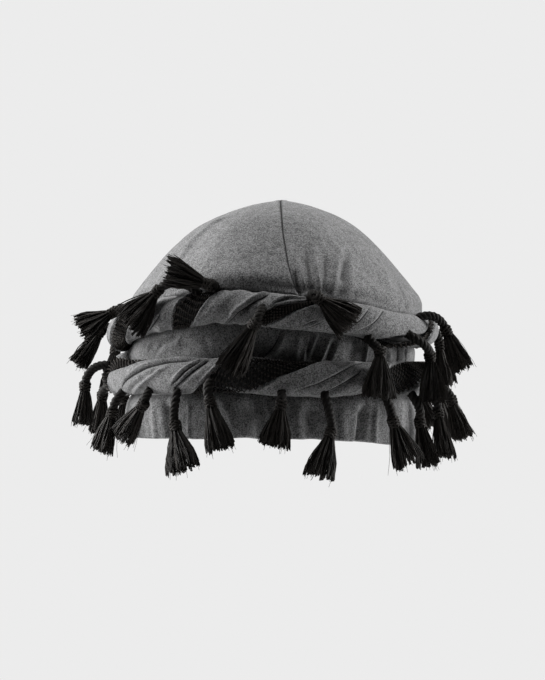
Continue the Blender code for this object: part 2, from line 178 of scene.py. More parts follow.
# Creases of the crown, by pixels of the photograph. Columns: kind, depth in mm, half width in mm, points
CROWN_CREASES = (
    ("dent", 3.6, 1.7, ((295, 270), (298, 284), (302, 298))),
    ("ridge", 1.3, 1.3, ((295, 252), (301, 276), (307, 296))),
    ("dent", 2.0, 2.0, ((306, 242), (311, 272), (314, 296))),
    ("ridge", 1.1, 1.5, ((313, 250), (317, 274), (320, 296))),
    ("dent", 1.9, 1.8, ((326, 250), (326, 276), (324, 296))),
    ("ridge", 1.3, 1.6, ((340, 248), (336, 274), (330, 298))),
    ("dent", 1.8, 1.9, ((348, 246), (343, 274), (336, 300))),
    ("ridge", 0.9, 1.9, ((355, 254), (350, 278), (343, 302))),
    ("ridge", 0.7, 2.5, ((326, 236), (338, 248), (347, 262))),
    ("ridge", 1.2, 3.2, (
        (157, 287), (164, 272), (181, 256), (192, 240), (203, 230), (216, 221), (230, 214),
    )),
    ("ridge", 0.5, 2.6, ((370, 246), (378, 256), (384, 268), (389, 286))),
    ("dent", 0.6, 1.8, ((362, 246), (371, 258), (377, 271), (381, 288))),
    ("ridge", 0.4, 2.2, ((398, 276), (404, 289), (409, 304), (411, 316))),
    ("dent", 0.6, 1.6, ((396, 274), (402, 290), (406, 306), (408, 316))),
)

# Folds of the hem, which run off its edge, in the same columns
HEM_CREASES = (
    ("dent", 3.6, 3.2, ((166, 396), (167, 415), (168, 440))),
    ("dent", 4.8, 4.6, ((245, 396), (244, 415), (243, 440))),
    ("dent", 5.0, 4.2, ((311, 396), (313, 415), (314, 440))),
    ("ridge", 1.0, 2.4, ((154, 398), (154, 415), (155, 440))),
    ("ridge", 0.8, 1.0, ((188, 398), (189, 412), (189, 436))),
    ("dent", 2.4, 2.4, ((212, 396), (216, 412), (220, 436))),
    ("ridge", 0.8, 1.7, ((222, 398), (229, 415), (237, 436))),
    ("ridge", 1.2, 2.2, ((256, 400), (257, 418), (257, 438))),
    ("dent", 0.8, 1.4, ((263, 400), (264, 416), (266, 438))),
    ("ridge", 0.7, 1.0, ((268, 398), (269, 410), (272, 424))),
    ("ridge", 1.2, 2.6, ((297, 400), (298, 418), (299, 437))),
    ("ridge", 1.6, 3.4, ((342, 400), (342, 420), (342, 442))),
    ("dent", 4.2, 3.0, ((365, 399), (363, 418), (360, 444))),
    ("ridge", 1.6, 1.8, ((377, 399), (375, 420), (374, 444))),
    ("dent", 1.1, 1.4, ((385, 399), (388, 412), (390, 430))),
    ("ridge", 0.9, 1.3, ((402, 396), (401, 415), (404, 436))),
    ("dent", 1.0, 1.2, ((409, 398), (410, 414), (411, 430))),
    ("ridge", 0.9, 1.2, ((417, 398), (418, 412), (420, 430))),
)


def hermite(start, leaving, end, arriving, t):
    """Points on smooth curves between two ends, which leave and arrive with these slopes."""
    return (
        start * (2 * t**3 - 3 * t**2 + 1)
        + leaving * (t**3 - 2 * t**2 + t)
        + end * (3 * t**2 - 2 * t**3)
        + arriving * (t**3 - t**2)
    )


def bell(away):
    """A soft swell, from 1 in its middle to a third where it is a half width away."""
    return np.exp(-(away**2))


def soft(share):
    """Rises smoothly from 0 to 1."""
    share = np.clip(share, 0, 1)
    return share * share * (3 - 2 * share)


def around(table, at, period=360, column=1):
    """Reads a column of a table as a smooth closed curve over its first column, degrees round the head."""
    rows = np.array(table, float)
    places = np.concatenate((rows[:, 0] - period, rows[:, 0], rows[:, 0] + period))
    values = np.tile(rows[:, column], 3)
    slopes = np.zeros_like(values)
    slopes[1:-1] = (values[2:] - values[:-2]) / (places[2:] - places[:-2])
    at = (np.asarray(at, float) - table[0][0]) % period + table[0][0]
    i = np.searchsorted(places, at, side="right") - 1
    width = places[i + 1] - places[i]
    t = (at - places[i]) / width
    return hermite(values[i], slopes[i] * width, values[i + 1], slopes[i + 1] * width, t)


def dip(angles, centre, half_width):
    """A soft fold's depth, from 1 at its centre to 0 at its sides."""
    return bell(((angles - centre + 180) % 360 - 180) / half_width)


def lower_z(angles):
    return HEM_DEPTH * around(LOWER_RISE, angles) + LOWER_HALF_HEIGHT


def upper_z(angles):
    gap = STRIP_WIDTH * around(STRIP_GAP, angles)
    return lower_z(angles) + LOWER_HALF_HEIGHT + gap + UPPER_HALF_HEIGHT


def outwards_at(angles):
    """Directions straight out of the cap's wall."""
    turn = np.radians(angles)
    x = (HEAD_HALF_LENGTH + CLOTH) * np.sin(turn)
    y = -(HEAD_HALF_WIDTH + CLOTH) * np.cos(turn)
    reach = np.hypot(x, y)
    return np.stack((x / reach, y / reach, 0 * reach), axis=-1)


def wall_point(angles, out, z):
    """Points so far out from the cap's wall behind the rolls, at these angles round it and heights."""
    angles, out, z = np.broadcast_arrays(np.asarray(angles, float), out, z)
    turn = np.radians(angles)
    x = (HEAD_HALF_WIDTH + CLOTH) * np.sin(turn)
    y = -(HEAD_HALF_LENGTH + CLOTH) * np.cos(turn)
    return np.stack((x, y, z), axis=-1) + outwards_at(angles) * out[..., None]


def crowded_angles(count, crowding):
    """Angles round the head, so many degrees closer to its front than evenly spaced ones are."""
    turns = np.arange(count) / count
    return 360 * turns - crowding * np.sin(2 * np.pi * turns)


def unit(vectors):
    return vectors / (np.linalg.norm(vectors, axis=-1, keepdims=True) + 1e-12)


def grid_normals(grid, wrap_rows=False):
    """Outward directions of a grid of points whose columns run round the head and meet."""
    across = np.roll(grid, -1, axis=1) - np.roll(grid, 1, axis=1)
    if wrap_rows:
        up = np.roll(grid, -1, axis=0) - np.roll(grid, 1, axis=0)
    else:
        up = np.gradient(grid, axis=0)
    return unit(np.cross(across, up))


def grid_faces(rows, columns, wrap_rows=False):
    """Corner numbers of the faces of a grid of points whose columns meet."""
    row, column = np.meshgrid(np.arange(rows if wrap_rows else rows - 1), np.arange(columns), indexing="ij")
    above = (row + 1) % rows * columns
    beside = (column + 1) % columns
    corners = (row * columns + column, row * columns + beside, above + beside, above + column)
    return np.stack(corners, axis=-1).reshape(-1, 4)


def ripples(seed, across, up, cells_across, cells_up):
    """Soft random heights from -1 to 1 at shares from 0 to 1 of a grid that meets itself across."""
    heights = np.random.default_rng(seed).uniform(-1, 1, (cells_across, cells_up + 2))
    x = across % 1 * cells_across
    y = np.clip(up, 0, 1) * cells_up
    i, j = np.floor(x).astype(int), np.floor(y).astype(int)
    s, t = soft(x - i), soft(y - j)
    i, beside = i % cells_across, (i + 1) % cells_across
    low = heights[i, j] * (1 - s) + heights[beside, j] * s
    high = heights[i, j + 1] * (1 - s) + heights[beside, j + 1] * s
    return low * (1 - t) + high * t


def smooth_line(points, step):
    """A smooth line through points, with a new point about every step."""
    points = np.asarray(points, float)
    slopes = np.gradient(points, axis=0)
    pieces = []
    for i in range(len(points) - 1):
        count = max(1, math.ceil(np.linalg.norm(points[i + 1] - points[i]) / step))
        t = np.arange(count)[:, None] / count
        pieces.append(hermite(points[i], slopes[i], points[i + 1], slopes[i + 1], t))
    return np.concatenate((*pieces, points[-1:]))


def traced_line(grid, normals, marks):
    """The line in space on the front of a cloth that shows at these pixels of the photograph."""
    front = (normals[..., 1] < 0) & (grid[..., 1] < 0)
    points = grid[front]
    seen = seen_from_camera(points)
    line = []
    for mark in marks:
        off = ((seen - mark) ** 2).sum(axis=-1)
        nearest = points[off < off.min() + MARK_REACH**2, 1].min()
        off = np.where(points[:, 1] < nearest + LAYER_APART, off, np.inf)
        weight = np.exp(-(off - off.min()) / MARK_BLUR)
        line.append((points * weight[:, None]).sum(axis=0) / weight.sum())
    return smooth_line(line, LINE_STEP)


def beside_line(points, normals, line):
    """Each point's distance from a line, positive on its left seen from outside, and the share passed."""
    runs = np.diff(line, axis=0)
    lengths = np.linalg.norm(runs, axis=1)
    passed = np.concatenate(([0], np.cumsum(lengths)))
    nearest = np.full(len(points), np.inf)
    side = np.ones(len(points))
    share = np.zeros(len(points))
    for start, run, length, before in zip(line, runs, lengths, passed):
        along = np.clip((points - start) @ run / length**2, 0, 1)
        away = points - start - along[:, None] * run
        distance = np.linalg.norm(away, axis=1)
        nearer = distance < nearest
        left = np.einsum("ij,ij->i", np.cross(normals, run / length), away)
        nearest = np.where(nearer, distance, nearest)
        side = np.where(nearer, np.where(left < 0, -1, 1), side)
        share = np.where(nearer, (before + along * length) / passed[-1], share)
    return nearest * side, share


def press_creases(grid, normals, creases, overrun=0, open_ended=False):
    """How far creases move each point of a cloth out, how far off the nearest tuck is, and how much painted
    shade it gets from it.
    """
    heights = np.zeros(grid.shape[:2])
    folded = np.full(grid.shape[:2], FOLD_REACH)
    painted_shade_share = np.zeros(grid.shape[:2])
    for kind, depth, half_width, marks in creases:
        marks = np.array(marks, float)
        marks[0] += overrun * unit(marks[0] - marks[1])
        marks[-1] += overrun * unit(marks[-1] - marks[-2])
        line = traced_line(grid, normals, marks)
        reach = 4 * half_width * MM
        near = np.all((grid > line.min(axis=0) - reach) & (grid < line.max(axis=0) + reach), axis=-1)
        away, share = beside_line(grid[near], normals[near], line)
        across = away / (half_width * MM)
        profile = sum(high * bell((across - middle) / width) for high, middle, width in CREASE_SHAPES[kind])
        end = soft((1 - share) / CREASE_FADE)
        fade = soft(share / CREASE_RISE) * (1 if open_ended else end)
        heights[near] += depth * MM * profile * fade
        # A tuck paints shade into the cloth along its line: full close to it, gone FOLD_REACH away, and
        # fading at its ends
        if kind == "tuck":
            closer = np.abs(away) < np.abs(folded[near])
            shade = np.clip(2 - 2 * np.abs(away) / FOLD_REACH, 0, 1) * soft(share / CREASE_FADE) * end
            folded[near] = np.where(closer, away, folded[near])
            painted_shade_share[near] = np.where(closer, shade, painted_shade_share[near])
    return heights, folded, painted_shade_share


def add_piece(name, points, faces, material, finish, node, **notes):
    """A smooth mesh that rides on the hat and stands for its solid, with values noted at its points."""
    mesh = bpy.data.meshes.new(name)
    mesh.vertices.add(len(points))
    mesh.vertices.foreach_set("co", np.asarray(points, np.float32).ravel())
    corners = np.concatenate([group.ravel() for group in faces])
    sizes = np.concatenate([np.full(len(group), group.shape[1]) for group in faces])
    mesh.loops.add(len(corners))
    mesh.loops.foreach_set("vertex_index", corners.astype(np.int32))
    mesh.polygons.add(len(sizes))
    mesh.polygons.foreach_set("loop_start", (np.cumsum(sizes) - sizes).astype(np.int32))
    for note, values in notes.items():
        attribute = mesh.attributes.new(note, "FLOAT", "POINT")
        attribute.data.foreach_set("value", np.asarray(values, np.float32).ravel())
    mesh.update(calc_edges=True)
    mesh.shade_smooth()
    mesh.materials.append(material)
    piece = bpy.data.objects.new(name, mesh)
    bpy.context.scene.collection.objects.link(piece)
    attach(piece, "root")
    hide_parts(node)
    return piece


def cap_rings(angles):
    """Rings of points up the outside of the cap, from the hem's edge to the tip."""
    low, high = lower_z(angles), upper_z(angles)
    under = low - WALL_BESIDE_ROLL[-1][0] * LOWER_HALF_HEIGHT
    edge = HEM_DEPTH * around(HEM_EDGE, angles)
    flare = WALL_BESIDE_ROLL[-1][1]
    hem_fold = HEM_FOLD * sum(share * dip(angles, centre, width) for centre, share, width in HEM_FOLDS)
    rings = []
    for share, fullness in reversed(HEM_WALL):
        out = HEM_FLARE * (flare + (1 - flare) * fullness) - hem_fold * share
        rings.append(wall_point(angles, out, under + (edge - under) * share))
    for share, fullness in reversed(WALL_BESIDE_ROLL):
        rings.append(wall_point(angles, HEM_FLARE * fullness, low - LOWER_HALF_HEIGHT * share))
    rings.append(wall_point(angles, 0, low))
    rings.append(wall_point(angles, 0, high))
    bulge = CROWN_BULGE * around(CROWN_FULLNESS, angles)

    def crown_fold(rise):
        return CROWN_FOLD * sum(
            share * dip(angles, centre, width) * bell((rise - deepest) / half_rise)
            for centre, share, width, deepest, half_rise in CROWN_FOLDS
        )

    for share, fullness in WALL_BESIDE_ROLL:
        upright = CROWN_UPRIGHT * np.interp(share, UPRIGHT_ABOVE, (0, 1))
        out = bulge * (fullness + (1 - fullness) * upright)
        rings.append(wall_point(angles, out, high + UPPER_HALF_HEIGHT * share))
    for share in WALL_OVER_ROLL:
        rings.append(wall_point(angles, bulge - crown_fold(0), high + UPPER_HALF_HEIGHT * share))
    foot = high + UPPER_HALF_HEIGHT * WALL_OVER_ROLL[-1]
    full, centre, width, fullest, half_rise = FRONT_FULL
    for rise, girth in CROWN_RINGS:
        front = full * dip(angles, centre, width) * bell((rise - fullest) / half_rise)
        ring = wall_point(angles, bulge - crown_fold(rise), 0) * (girth + front)[:, None]
        ring[:, 0] += TIP_SHIFT * rise**TIP_LEAN_POWER
        ring[:, 2] = foot + (CAP_HEIGHT - foot) * rise
        rings.append(ring)
    rings.append(np.tile((TIP_SHIFT, 0, CAP_HEIGHT), (len(angles), 1)))
    return np.array(rings)


def finer_rings(rings):
    """Smooth rings between these, close together where the cloth shows."""
    gaps = np.linalg.norm(np.diff(rings, axis=0), axis=-1).mean(axis=-1)
    places = np.concatenate(([0], np.cumsum(gaps)))
    slopes = np.gradient(rings, places, axis=0)
    finer = []
    for i, gap in enumerate(gaps):
        count = math.ceil(gap / (HIDDEN_STEP if i in HIDDEN_RINGS else CAP_STEP))
        for t in np.arange(count) / count:
            finer.append(hermite(rings[i], slopes[i] * gap, rings[i + 1], slopes[i + 1] * gap, t))
    return np.array(finer)


def wire(tree, node, inputs):
    """Sets inputs of a node, by name or number, each to a value or to what another node gives."""
    for name, value in inputs.items():
        if isinstance(value, bpy.types.NodeSocket):
            tree.links.new(value, node.inputs[name])
        else:
            node.inputs[name].default_value = value


def add_node(tree, kind, inputs, output=0, **settings):
    """Adds a node with these inputs and settings, and returns one of its outputs."""
    node = tree.nodes.new("ShaderNode" + kind)
    for name, value in settings.items():
        setattr(node, name, value)
    wire(tree, node, inputs)
    return node.outputs[output]


def new_material(name, surface):
    """A material with these values on its shader, and its nodes."""
    material = bpy.data.materials.new(name)
    material.use_nodes = True
    wire(material.node_tree, material.node_tree.nodes["Principled BSDF"], surface)
    return material, material.node_tree


# Jersey: fineness of its flecks, of lighter and darker patches, and of its coarse and fine nap
FLECKS = 1300
PATCHES = 260
COARSE_NAP = 900
FINE_NAP = 2400
NAP_DEPTH = 0.12 * MM

# Tones of the jersey's fibres. Columns: place in the mix, colour
FIBRES = ((0.38, (0.07, 0.07, 0.071, 1)), (0.62, (0.33, 0.33, 0.332, 1)))
# A dark line along the seam, and painted shade in the tucks and in the bed under the braid: its colour, how
# strongly it darkens, and how far from its line it is full and where it ends
SEAM_AND_SHADE_DARK = (0.008, 0.008, 0.008, 1)
SEAM_AND_SHADE_STRENGTH = 0.9
FOLD_HALF_WIDTH = (0.1 * MM, 0.7 * MM)


def jersey_material():
    """Heather jersey: light and dark fibres mixed in small flecks, darker along its seam, with painted shade
    in its tucks and in the bed under the braid.
    """
    material, tree = new_material("heather_jersey", {
        "Roughness": 0.95,
        "Specular IOR Level": 0.15,
        "Sheen Weight": 0.35,
        "Sheen Roughness": 0.45,
        "Sheen Tint": (0.55, 0.55, 0.55, 1),
    })
    place = add_node(tree, "TexCoord", {}, "Object")

    def noise(scale, detail, roughness=0.5):
        grain = {"Scale": scale, "Detail": detail, "Roughness": roughness, "Vector": place}
        return add_node(tree, "TexNoise", grain, "Fac")

    def maths(operation, first, second=0):
        return add_node(tree, "Math", {0: first, 1: second}, operation=operation)

    def noted(name):
        return add_node(tree, "Attribute", {}, "Fac", attribute_name=name)

    fine = maths("MULTIPLY", noise(FLECKS, 2, 0.6), 0.8)
    coarse = maths("MULTIPLY", noise(PATCHES, 2), 0.2)
    tones = tree.nodes.new("ShaderNodeValToRGB")
    for stop, (position, colour) in zip(tones.color_ramp.elements, FIBRES):
        stop.position = position
        stop.color = colour
    wire(tree, tones, {"Fac": maths("ADD", fine, coarse)})
    # Darkens the cloth along the seam and paints shade into the tucks and the braid's bed, by the distance
    # and share noted at each point
    dark, clear = FOLD_HALF_WIDTH
    away = maths("ABSOLUTE", noted("line"))
    fading = {"Value": away, "From Min": dark, "From Max": clear, "To Min": 1, "To Max": 0}
    line = add_node(tree, "MapRange", fading, "Result", interpolation_type="SMOOTHSTEP")
    seam_and_shade_mask = maths("MULTIPLY", line, noted("line_share"))
    mixed = {"Factor": maths("MULTIPLY", seam_and_shade_mask, SEAM_AND_SHADE_STRENGTH), "A": tones.outputs["Color"], "B": SEAM_AND_SHADE_DARK}
    colour = add_node(tree, "Mix", mixed, "Result", data_type="RGBA")
    nap = maths("ADD", noise(FINE_NAP, 2, 0.7), maths("MULTIPLY", noise(COARSE_NAP, 1), 0.8))
    height = maths("SUBTRACT", nap, maths("MULTIPLY", seam_and_shade_mask, 6))
    bump = add_node(tree, "Bump", {"Strength": 0.5, "Distance": NAP_DEPTH, "Height": height}, "Normal")
    wire(tree, tree.nodes["Principled BSDF"], {"Base Color": colour, "Normal": bump})
    return material


jersey = jersey_material()


def front_seam(skin, angles):
    """Where the seam shows on the front of each ring of the cap, from its foot up."""
    seam_across, seam_down = np.array(FRONT_SEAM, float).T
    half = np.abs(angles - 360 * (angles > 180)) < SEAM_SEARCH
    points = []
    for ring in skin[SEAM_FOOT:]:
        ring = np.roll(ring[half], np.count_nonzero(half) // 2, axis=0)
        seen = seen_from_camera(ring)
        off = seen[:, 0] - np.interp(seen[:, 1], seam_down, seam_across)
        i = np.argmax((off[:-1] < 0) & (off[1:] >= 0))
        if off[i] < 0 <= off[i + 1]:
            points.append(ring[i] + (ring[i + 1] - ring[i]) * off[i] / (off[i] - off[i + 1]))
    return np.array(points)


def make_cap():
    angles = crowded_angles(CAP_COLUMNS, FRONT_CROWDING)
    skin = finer_rings(cap_rings(angles))
    normals = grid_normals(skin)
    up = np.linspace(0, 1, len(skin))[:, None]
    heights, _, _ = press_creases(skin, normals, CROWN_CREASES)
    heights += press_creases(skin, normals, HEM_CREASES, open_ended=True)[0]
    heights += sum(
        height * ripples(seed, angles / 360, up, swells_round, swells_up)
        for seed, (height, swells_round, swells_up) in enumerate(CAP_SWELLS, 3)
    )
    heights *= np.clip((CAP_HEIGHT - skin[..., 2]) / SMOOTH_TIP, 0, 1)
    skin = skin + normals * heights[..., None]
    normals = grid_normals(skin)

    tip = np.array((TIP_SHIFT, 0, CAP_HEIGHT))
    back = skin[SEAM_FOOT:, np.argmin(np.abs(angles - 180))]
    seam_line = np.concatenate((front_seam(skin, angles)[::4], [tip], back[::-6]))
    seam, _ = beside_line(skin.reshape(-1, 3), normals.reshape(-1, 3), seam_line)
    puff = SEAM_PUFF * bell((np.abs(seam) - SEAM_PUFF_APART) / SEAM_PUFF_WIDTH)
    pulled = SEAM_DEPTH * bell(seam / SEAM_WIDTH)
    skin = skin + normals * (puff - pulled).reshape(skin.shape[:2])[..., None]

    inside = skin[::INSIDE_EVERY] - normals[::INSIDE_EVERY] * CLOTH
    edge = (skin[0] + inside[0]) / 2 - np.array((0, 0, 0.45 * CLOTH))
    turned = [(skin[0] + edge) / 2 + (skin[0] - inside[0]) * 0.06, (inside[0] + edge) / 2]
    rings = np.concatenate((inside[::-1], [turned[1], edge, turned[0]], skin))
    points = np.concatenate((rings.reshape(-1, 3), [tip - (0, 0, CLOTH)], [tip]))
    rows = len(rings)
    column = np.arange(CAP_COLUMNS)
    beside = (column + 1) % CAP_COLUMNS
    last = (rows - 1) * CAP_COLUMNS
    lower_tip, upper_tip = rows * CAP_COLUMNS, rows * CAP_COLUMNS + 1
    tips = np.concatenate((
        np.stack((beside, column, np.full(CAP_COLUMNS, lower_tip)), axis=-1),
        np.stack((last + column, last + beside, np.full(CAP_COLUMNS, upper_tip)), axis=-1),
    ))
    unsewn = np.ones((rows - len(skin)) * CAP_COLUMNS)
    line = np.concatenate((unsewn, seam, [1, 0]))
    add_piece(
        "jersey_cap", points, (grid_faces(rows, CAP_COLUMNS), tips), jersey, "jersey", "cap",
        line=line, line_share=np.ones(len(line)),
    )


make_cap()

# Strip between the rolls
# One length of the same jersey, gathered round the head and caught under both rolls, so that it puffs
# out between them and creases where the wrapping pulls it aslant.
STRIP_CLOTH = 2 * MM
STRIP_PUFF = 3.2 * MM
STRIP_TUCK = 0.72
STRIP_SEAT = 0.4 * MM
STRIP_COLUMNS = 860
STRIP_CROWDING = 26
STRIP_ROWS = 29

# How many pixels the creases run on behind the rolls, and the cloth's least depth in them and over the cap
STRIP_OVERRUN = 7
STRIP_THINNEST = 0.6 * MM
STRIP_DEEPEST = 0.8 * MM

STRIP_CREASES = (
    ("ridge", 1.8, 1.5, ((147, 352), (150, 345), (157, 339), (168, 335))),
    ("dent", 1.8, 1.9, ((157, 354), (160, 348), (166, 343), (174, 339))),
    ("ridge", 1.1, 2.5, ((157, 353), (165, 346), (176, 342))),
    ("dent", 0.6, 2.4, ((180, 350), (192, 345), (205, 343))),
    ("tuck", 3.1, 2.2, ((282, 331), (276, 343), (269, 353), (262, 359))),
    ("dent", 1.9, 4.8, ((264, 328), (262, 344), (256, 357))),
    ("ridge", 0.8, 1.9, ((298, 333), (298, 345), (296, 357))),
    ("ridge", 1.0, 0.9, ((309, 335), (307, 345), (304, 357))),
    ("dent", 3.0, 1.3, ((312, 333), (310, 344), (307, 356))),
    ("ridge", 1.6, 0.9, ((317, 335), (313, 345), (309, 353), (303, 360))),
    ("dent", 2.8, 1.8, ((321, 336), (318, 347), (313, 358))),
    ("ridge", 1.4, 1.0, ((329, 338), (326, 348), (321, 359))),
    ("dent", 2.2, 1.2, ((334, 342), (331, 351), (328, 359))),
    ("ridge", 0.7, 2.2, ((341, 340), (336, 349), (332, 358))),
    ("dent", 2.6, 4.4, ((357, 342), (354, 351), (350, 359))),
    ("ridge", 1.9, 1.4, ((366, 348), (365, 355), (364, 362))),
    ("dent", 2.2, 0.9, ((397, 346), (398, 355), (397, 364))),
    ("dent", 2.2, 0.9, ((407, 347), (408, 356), (407, 366))),
    ("ridge", 1.2, 2.5, ((388, 350), (389, 356), (389, 362))),
)

# Where the strip folds out between the rolls. Columns: angle, depth, half width in degrees
STRIP_FOLDS = ((-93, 9.5 * MM, 8),)

# Gathers where the strip isn't seen. Columns: first angle, last angle, how many. Each is up to so many
# degrees off its even place, and slants by this share of the way round
HIDDEN_GATHERS = ((70, 150, 9), (150, 215, 7), (215, 275, 7))
GATHER_DEPTH = 1.1 * MM
GATHER_HALF_WIDTH = 2.2
GATHER_OFF = 3
GATHER_SLANT = 0.012

# Unevenness of the strip. Columns: height, swells round the head, swells up the strip
SLANTED_SWELLS = (0.3 * MM, 70, 2)
FINE_SWELLS = (0.1 * MM, 180, 7)


def make_strip():
    angles = crowded_angles(STRIP_COLUMNS, STRIP_CROWDING)
    low = lower_z(angles) + LOWER_HALF_HEIGHT * STRIP_TUCK
    high = upper_z(angles) - UPPER_HALF_HEIGHT * STRIP_TUCK
    gap = around(STRIP_GAP, angles)
    rise = np.linspace(0, 1, STRIP_ROWS)[:, None]
    bulge = np.clip(np.sin(np.pi * rise), 0, 1)
    puff = STRIP_PUFF * gap * bulge**0.7
    for centre, depth, width in STRIP_FOLDS:
        puff = puff + depth * dip(angles, centre, width) * bulge**2
    skin = wall_point(angles, STRIP_SEAT + STRIP_CLOTH + puff, low + (high - low) * rise)
    normals = grid_normals(skin)
    heights, folded, painted_shade_share = press_creases(skin, normals, STRIP_CREASES, STRIP_OVERRUN)
    slant = angles / 360 + GATHER_SLANT * rise
    rng = np.random.default_rng(12)
    for first, last, count in HIDDEN_GATHERS:
        for centre in np.linspace(first, last, count) + rng.uniform(-GATHER_OFF, GATHER_OFF, count):
            heights -= GATHER_DEPTH * rng.uniform(0.5, 1) * dip(slant * 360, centre, GATHER_HALF_WIDTH)
    height, swells_round, swells_up = SLANTED_SWELLS
    slanted = height * ripples(13, slant, rise, swells_round, swells_up)
    height, swells_round, swells_up = FINE_SWELLS
    heights += slanted + height * ripples(14, angles / 360, rise, swells_round, swells_up)
    skin = skin + normals * (heights * np.sin(np.pi * rise) ** 0.5)[..., None]
    too_deep = (heights < -puff - STRIP_CLOTH + STRIP_THINNEST)[..., None]
    deepest = wall_point(angles, STRIP_DEEPEST, low + (high - low) * rise)
    skin[1:-1] = np.where(too_deep[1:-1], deepest[1:-1], skin[1:-1])
    back = np.array([wall_point(angles, STRIP_SEAT, low + (high - low) * share) for share in (1, 0.5, 0)])
    rings = np.concatenate((skin, back))
    # The front carries the tucks' painted shade; the back lies far from any tuck and gets none
    unfolded = np.zeros(back.shape[:2])
    line = np.concatenate((folded, unfolded + FOLD_REACH))
    share = np.concatenate((painted_shade_share, unfolded))
    strip = add_piece(
        "gathered_strip", rings.reshape(-1, 3), (grid_faces(len(rings), STRIP_COLUMNS, True),), jersey,
        "jersey", "wrap_band", line=line, line_share=share,
    )


make_strip()

# Twisted rolls
# Two soft rolls of jersey go round the cap, each with a black braid wound into its twist. The cloth
# swells beside the braid and drags into long creases that follow the twist.
SEAT = 0.5 * MM
GAP = 0.3 * MM
ROLL_HALF_DEPTH = 8.5 * MM
TRIM_THICKNESS = 1.7 * MM
TRIM_SEAT = 0.9 * MM
BED_SIDE = 5

# Mesh of a roll: stations along it, points round it and how much closer these stations lie at the front
ROLL_STATIONS = 720
ROLL_POINTS_ROUND = 78
FRONT_FINER = 2
TWIST_SAMPLES = 4000

# Where the braid faces straight out as it winds round each roll, in degrees round the head
UPPER_CROSSINGS = (-62, -28, 4, 59, 134, 209)
LOWER_CROSSINGS = (-75, -3, 52, 132, 208)

# Bed of the braid along the twist. Columns: turns, degrees from the crossing line down to the bed's lower
# edge, and up to its upper edge
UPPER_BED = (
    (0, 52, 38), (0.2, 60, 38), (0.4, 72, 38), (0.56, 48, 38), (0.74, 50, 36), (0.86, 62, 66), (1, 66, 68),
    (1.2, 52, 60), (1.6, 36, 50),
    (1.9, 16, 44), (2.06, 17, 14), (2.22, 32, -4), (2.5, 38, 38), (2.75, 38, 46), (2.9, 54, 14),
    (3.06, 68, -24), (3.3, 50, 20), (3.6, 38, 38), (4.5, 38, 38), (5.4, 38, 38),
)
LOWER_BED = (
    (0, -20, 84), (0.12, 10, 74), (0.25, 38, 60), (0.6, 44, 50), (0.72, 44, 84), (0.82, 44, 122),
    (0.94, 42, 112), (1.07, 26, 74),
    (1.2, 34, 46), (1.45, 44, 44), (1.7, 44, 62), (1.86, 44, 94), (2, 44, 76), (2.16, 44, 50), (2.6, 44, 44),
    (3.5, 44, 44), (4.5, 44, 44), (4.7, 30, 60), (4.85, 12, 84), (4.93, -8, 88),
)

# How far the braid's upper edge stands off its bed. Columns: turns, share of TRIM_RISE
TRIM_RISE = 4.5 * MM
UPPER_LOOSE = ((0, 0), (1, 0), (2, 0), (2.5, 0), (2.72, 1.0), (2.9, 1.0), (3.1, 0), (4, 0), (5, 0))
LOWER_LOOSE = (
    (0, 0.5), (0.15, 0.1), (0.4, 0), (1, 0), (2, 0), (3, 0), (4, 0), (4.5, 0), (4.7, 0.3), (4.85, 0.7),
)

# Cloth of a roll from one side of the bed round to the other. Columns: share of the way, of the radius
ROLL_LOBES = ((0.16, 0.985), (0.33, 1.0), (0.5, 0.9), (0.67, 1.0), (0.84, 0.985))
LOBES_ROUNDED = 13

# Uneven depth of the valley between the lobes, and its half width as a share of the way round
VALLEY_DEPTH = 0.5 * MM
VALLEY_HALF_WIDTH = 0.11

# Lip of cloth beside the bed: its height, degrees from the bed's side and half width
BED_LIP = 0.5 * MM
LIP_AWAY = 3
LIP_HALF_WIDTH = 6

UPPER_CREASES = (
    ("tuck", 2.2, 1.8, ((224, 328), (232, 320), (238, 313), (245, 308), (253, 302), (262, 297), (272, 293))),
    ("tuck", 1.0, 1.1, ((269, 308), (277, 302), (286, 299), (296, 298), (309, 298))),
    ("tuck", 0.9, 1.1, ((270, 306), (279, 300.5), (289, 297.5), (300, 296.5), (310, 297))),
    ("tuck", 0.8, 1.1, ((276, 329), (290, 327), (302, 326), (312, 322), (320, 320))),
    ("tuck", 0.7, 1.1, ((299, 331), (309, 328), (316, 325), (323, 322))),
    ("tuck", 0.7, 1.2, ((346, 335), (361, 330), (370, 326), (377, 320), (382, 313), (384, 309))),
    ("tuck", 0.6, 1.1, ((345, 330), (354, 325), (361, 319), (366, 313), (371, 306))),
    ("tuck", 0.9, 1.1, ((149, 332), (153, 325), (158, 317), (161, 311))),
    ("dent", 0.7, 1.1, ((172, 329), (176, 320), (182, 310))),
)
LOWER_CREASES = (
    ("tuck", 2.2, 1.4, (
        (122, 393), (122, 386), (125, 381), (131, 375.5), (138, 371), (147, 366.5), (157, 363.5), (168, 361),
        (182, 360), (200, 359.5),
    )),
    ("ridge", 1.2, 1.1, (
        (132, 400), (134, 391), (138, 387), (145, 381), (153, 375), (161, 370), (170, 366),
    )),
    ("dent", 0.9, 1.2, ((129, 399), (131, 390), (136, 384.5), (143, 379), (152, 373), (161, 368))),
    ("tuck", 1.7, 1.3, ((170, 387), (177, 379), (183, 372), (189, 367.5), (196, 363.5), (205, 359.5))),
    ("tuck", 1.6, 1.2, ((173, 390), (181, 382), (189, 374), (196, 368.5), (204, 363), (212, 359))),
    ("dent", 0.6, 1.2, ((114, 372), (112.5, 381), (116, 391))),
    ("tuck", 1.2, 1.2, ((292, 393), (306, 388), (318, 384), (330, 378), (343, 371), (354, 365), (365, 361))),
    ("tuck", 2.2, 1.8, ((318, 395), (330, 391), (342, 385), (351, 379), (358, 374), (363, 369))),
)

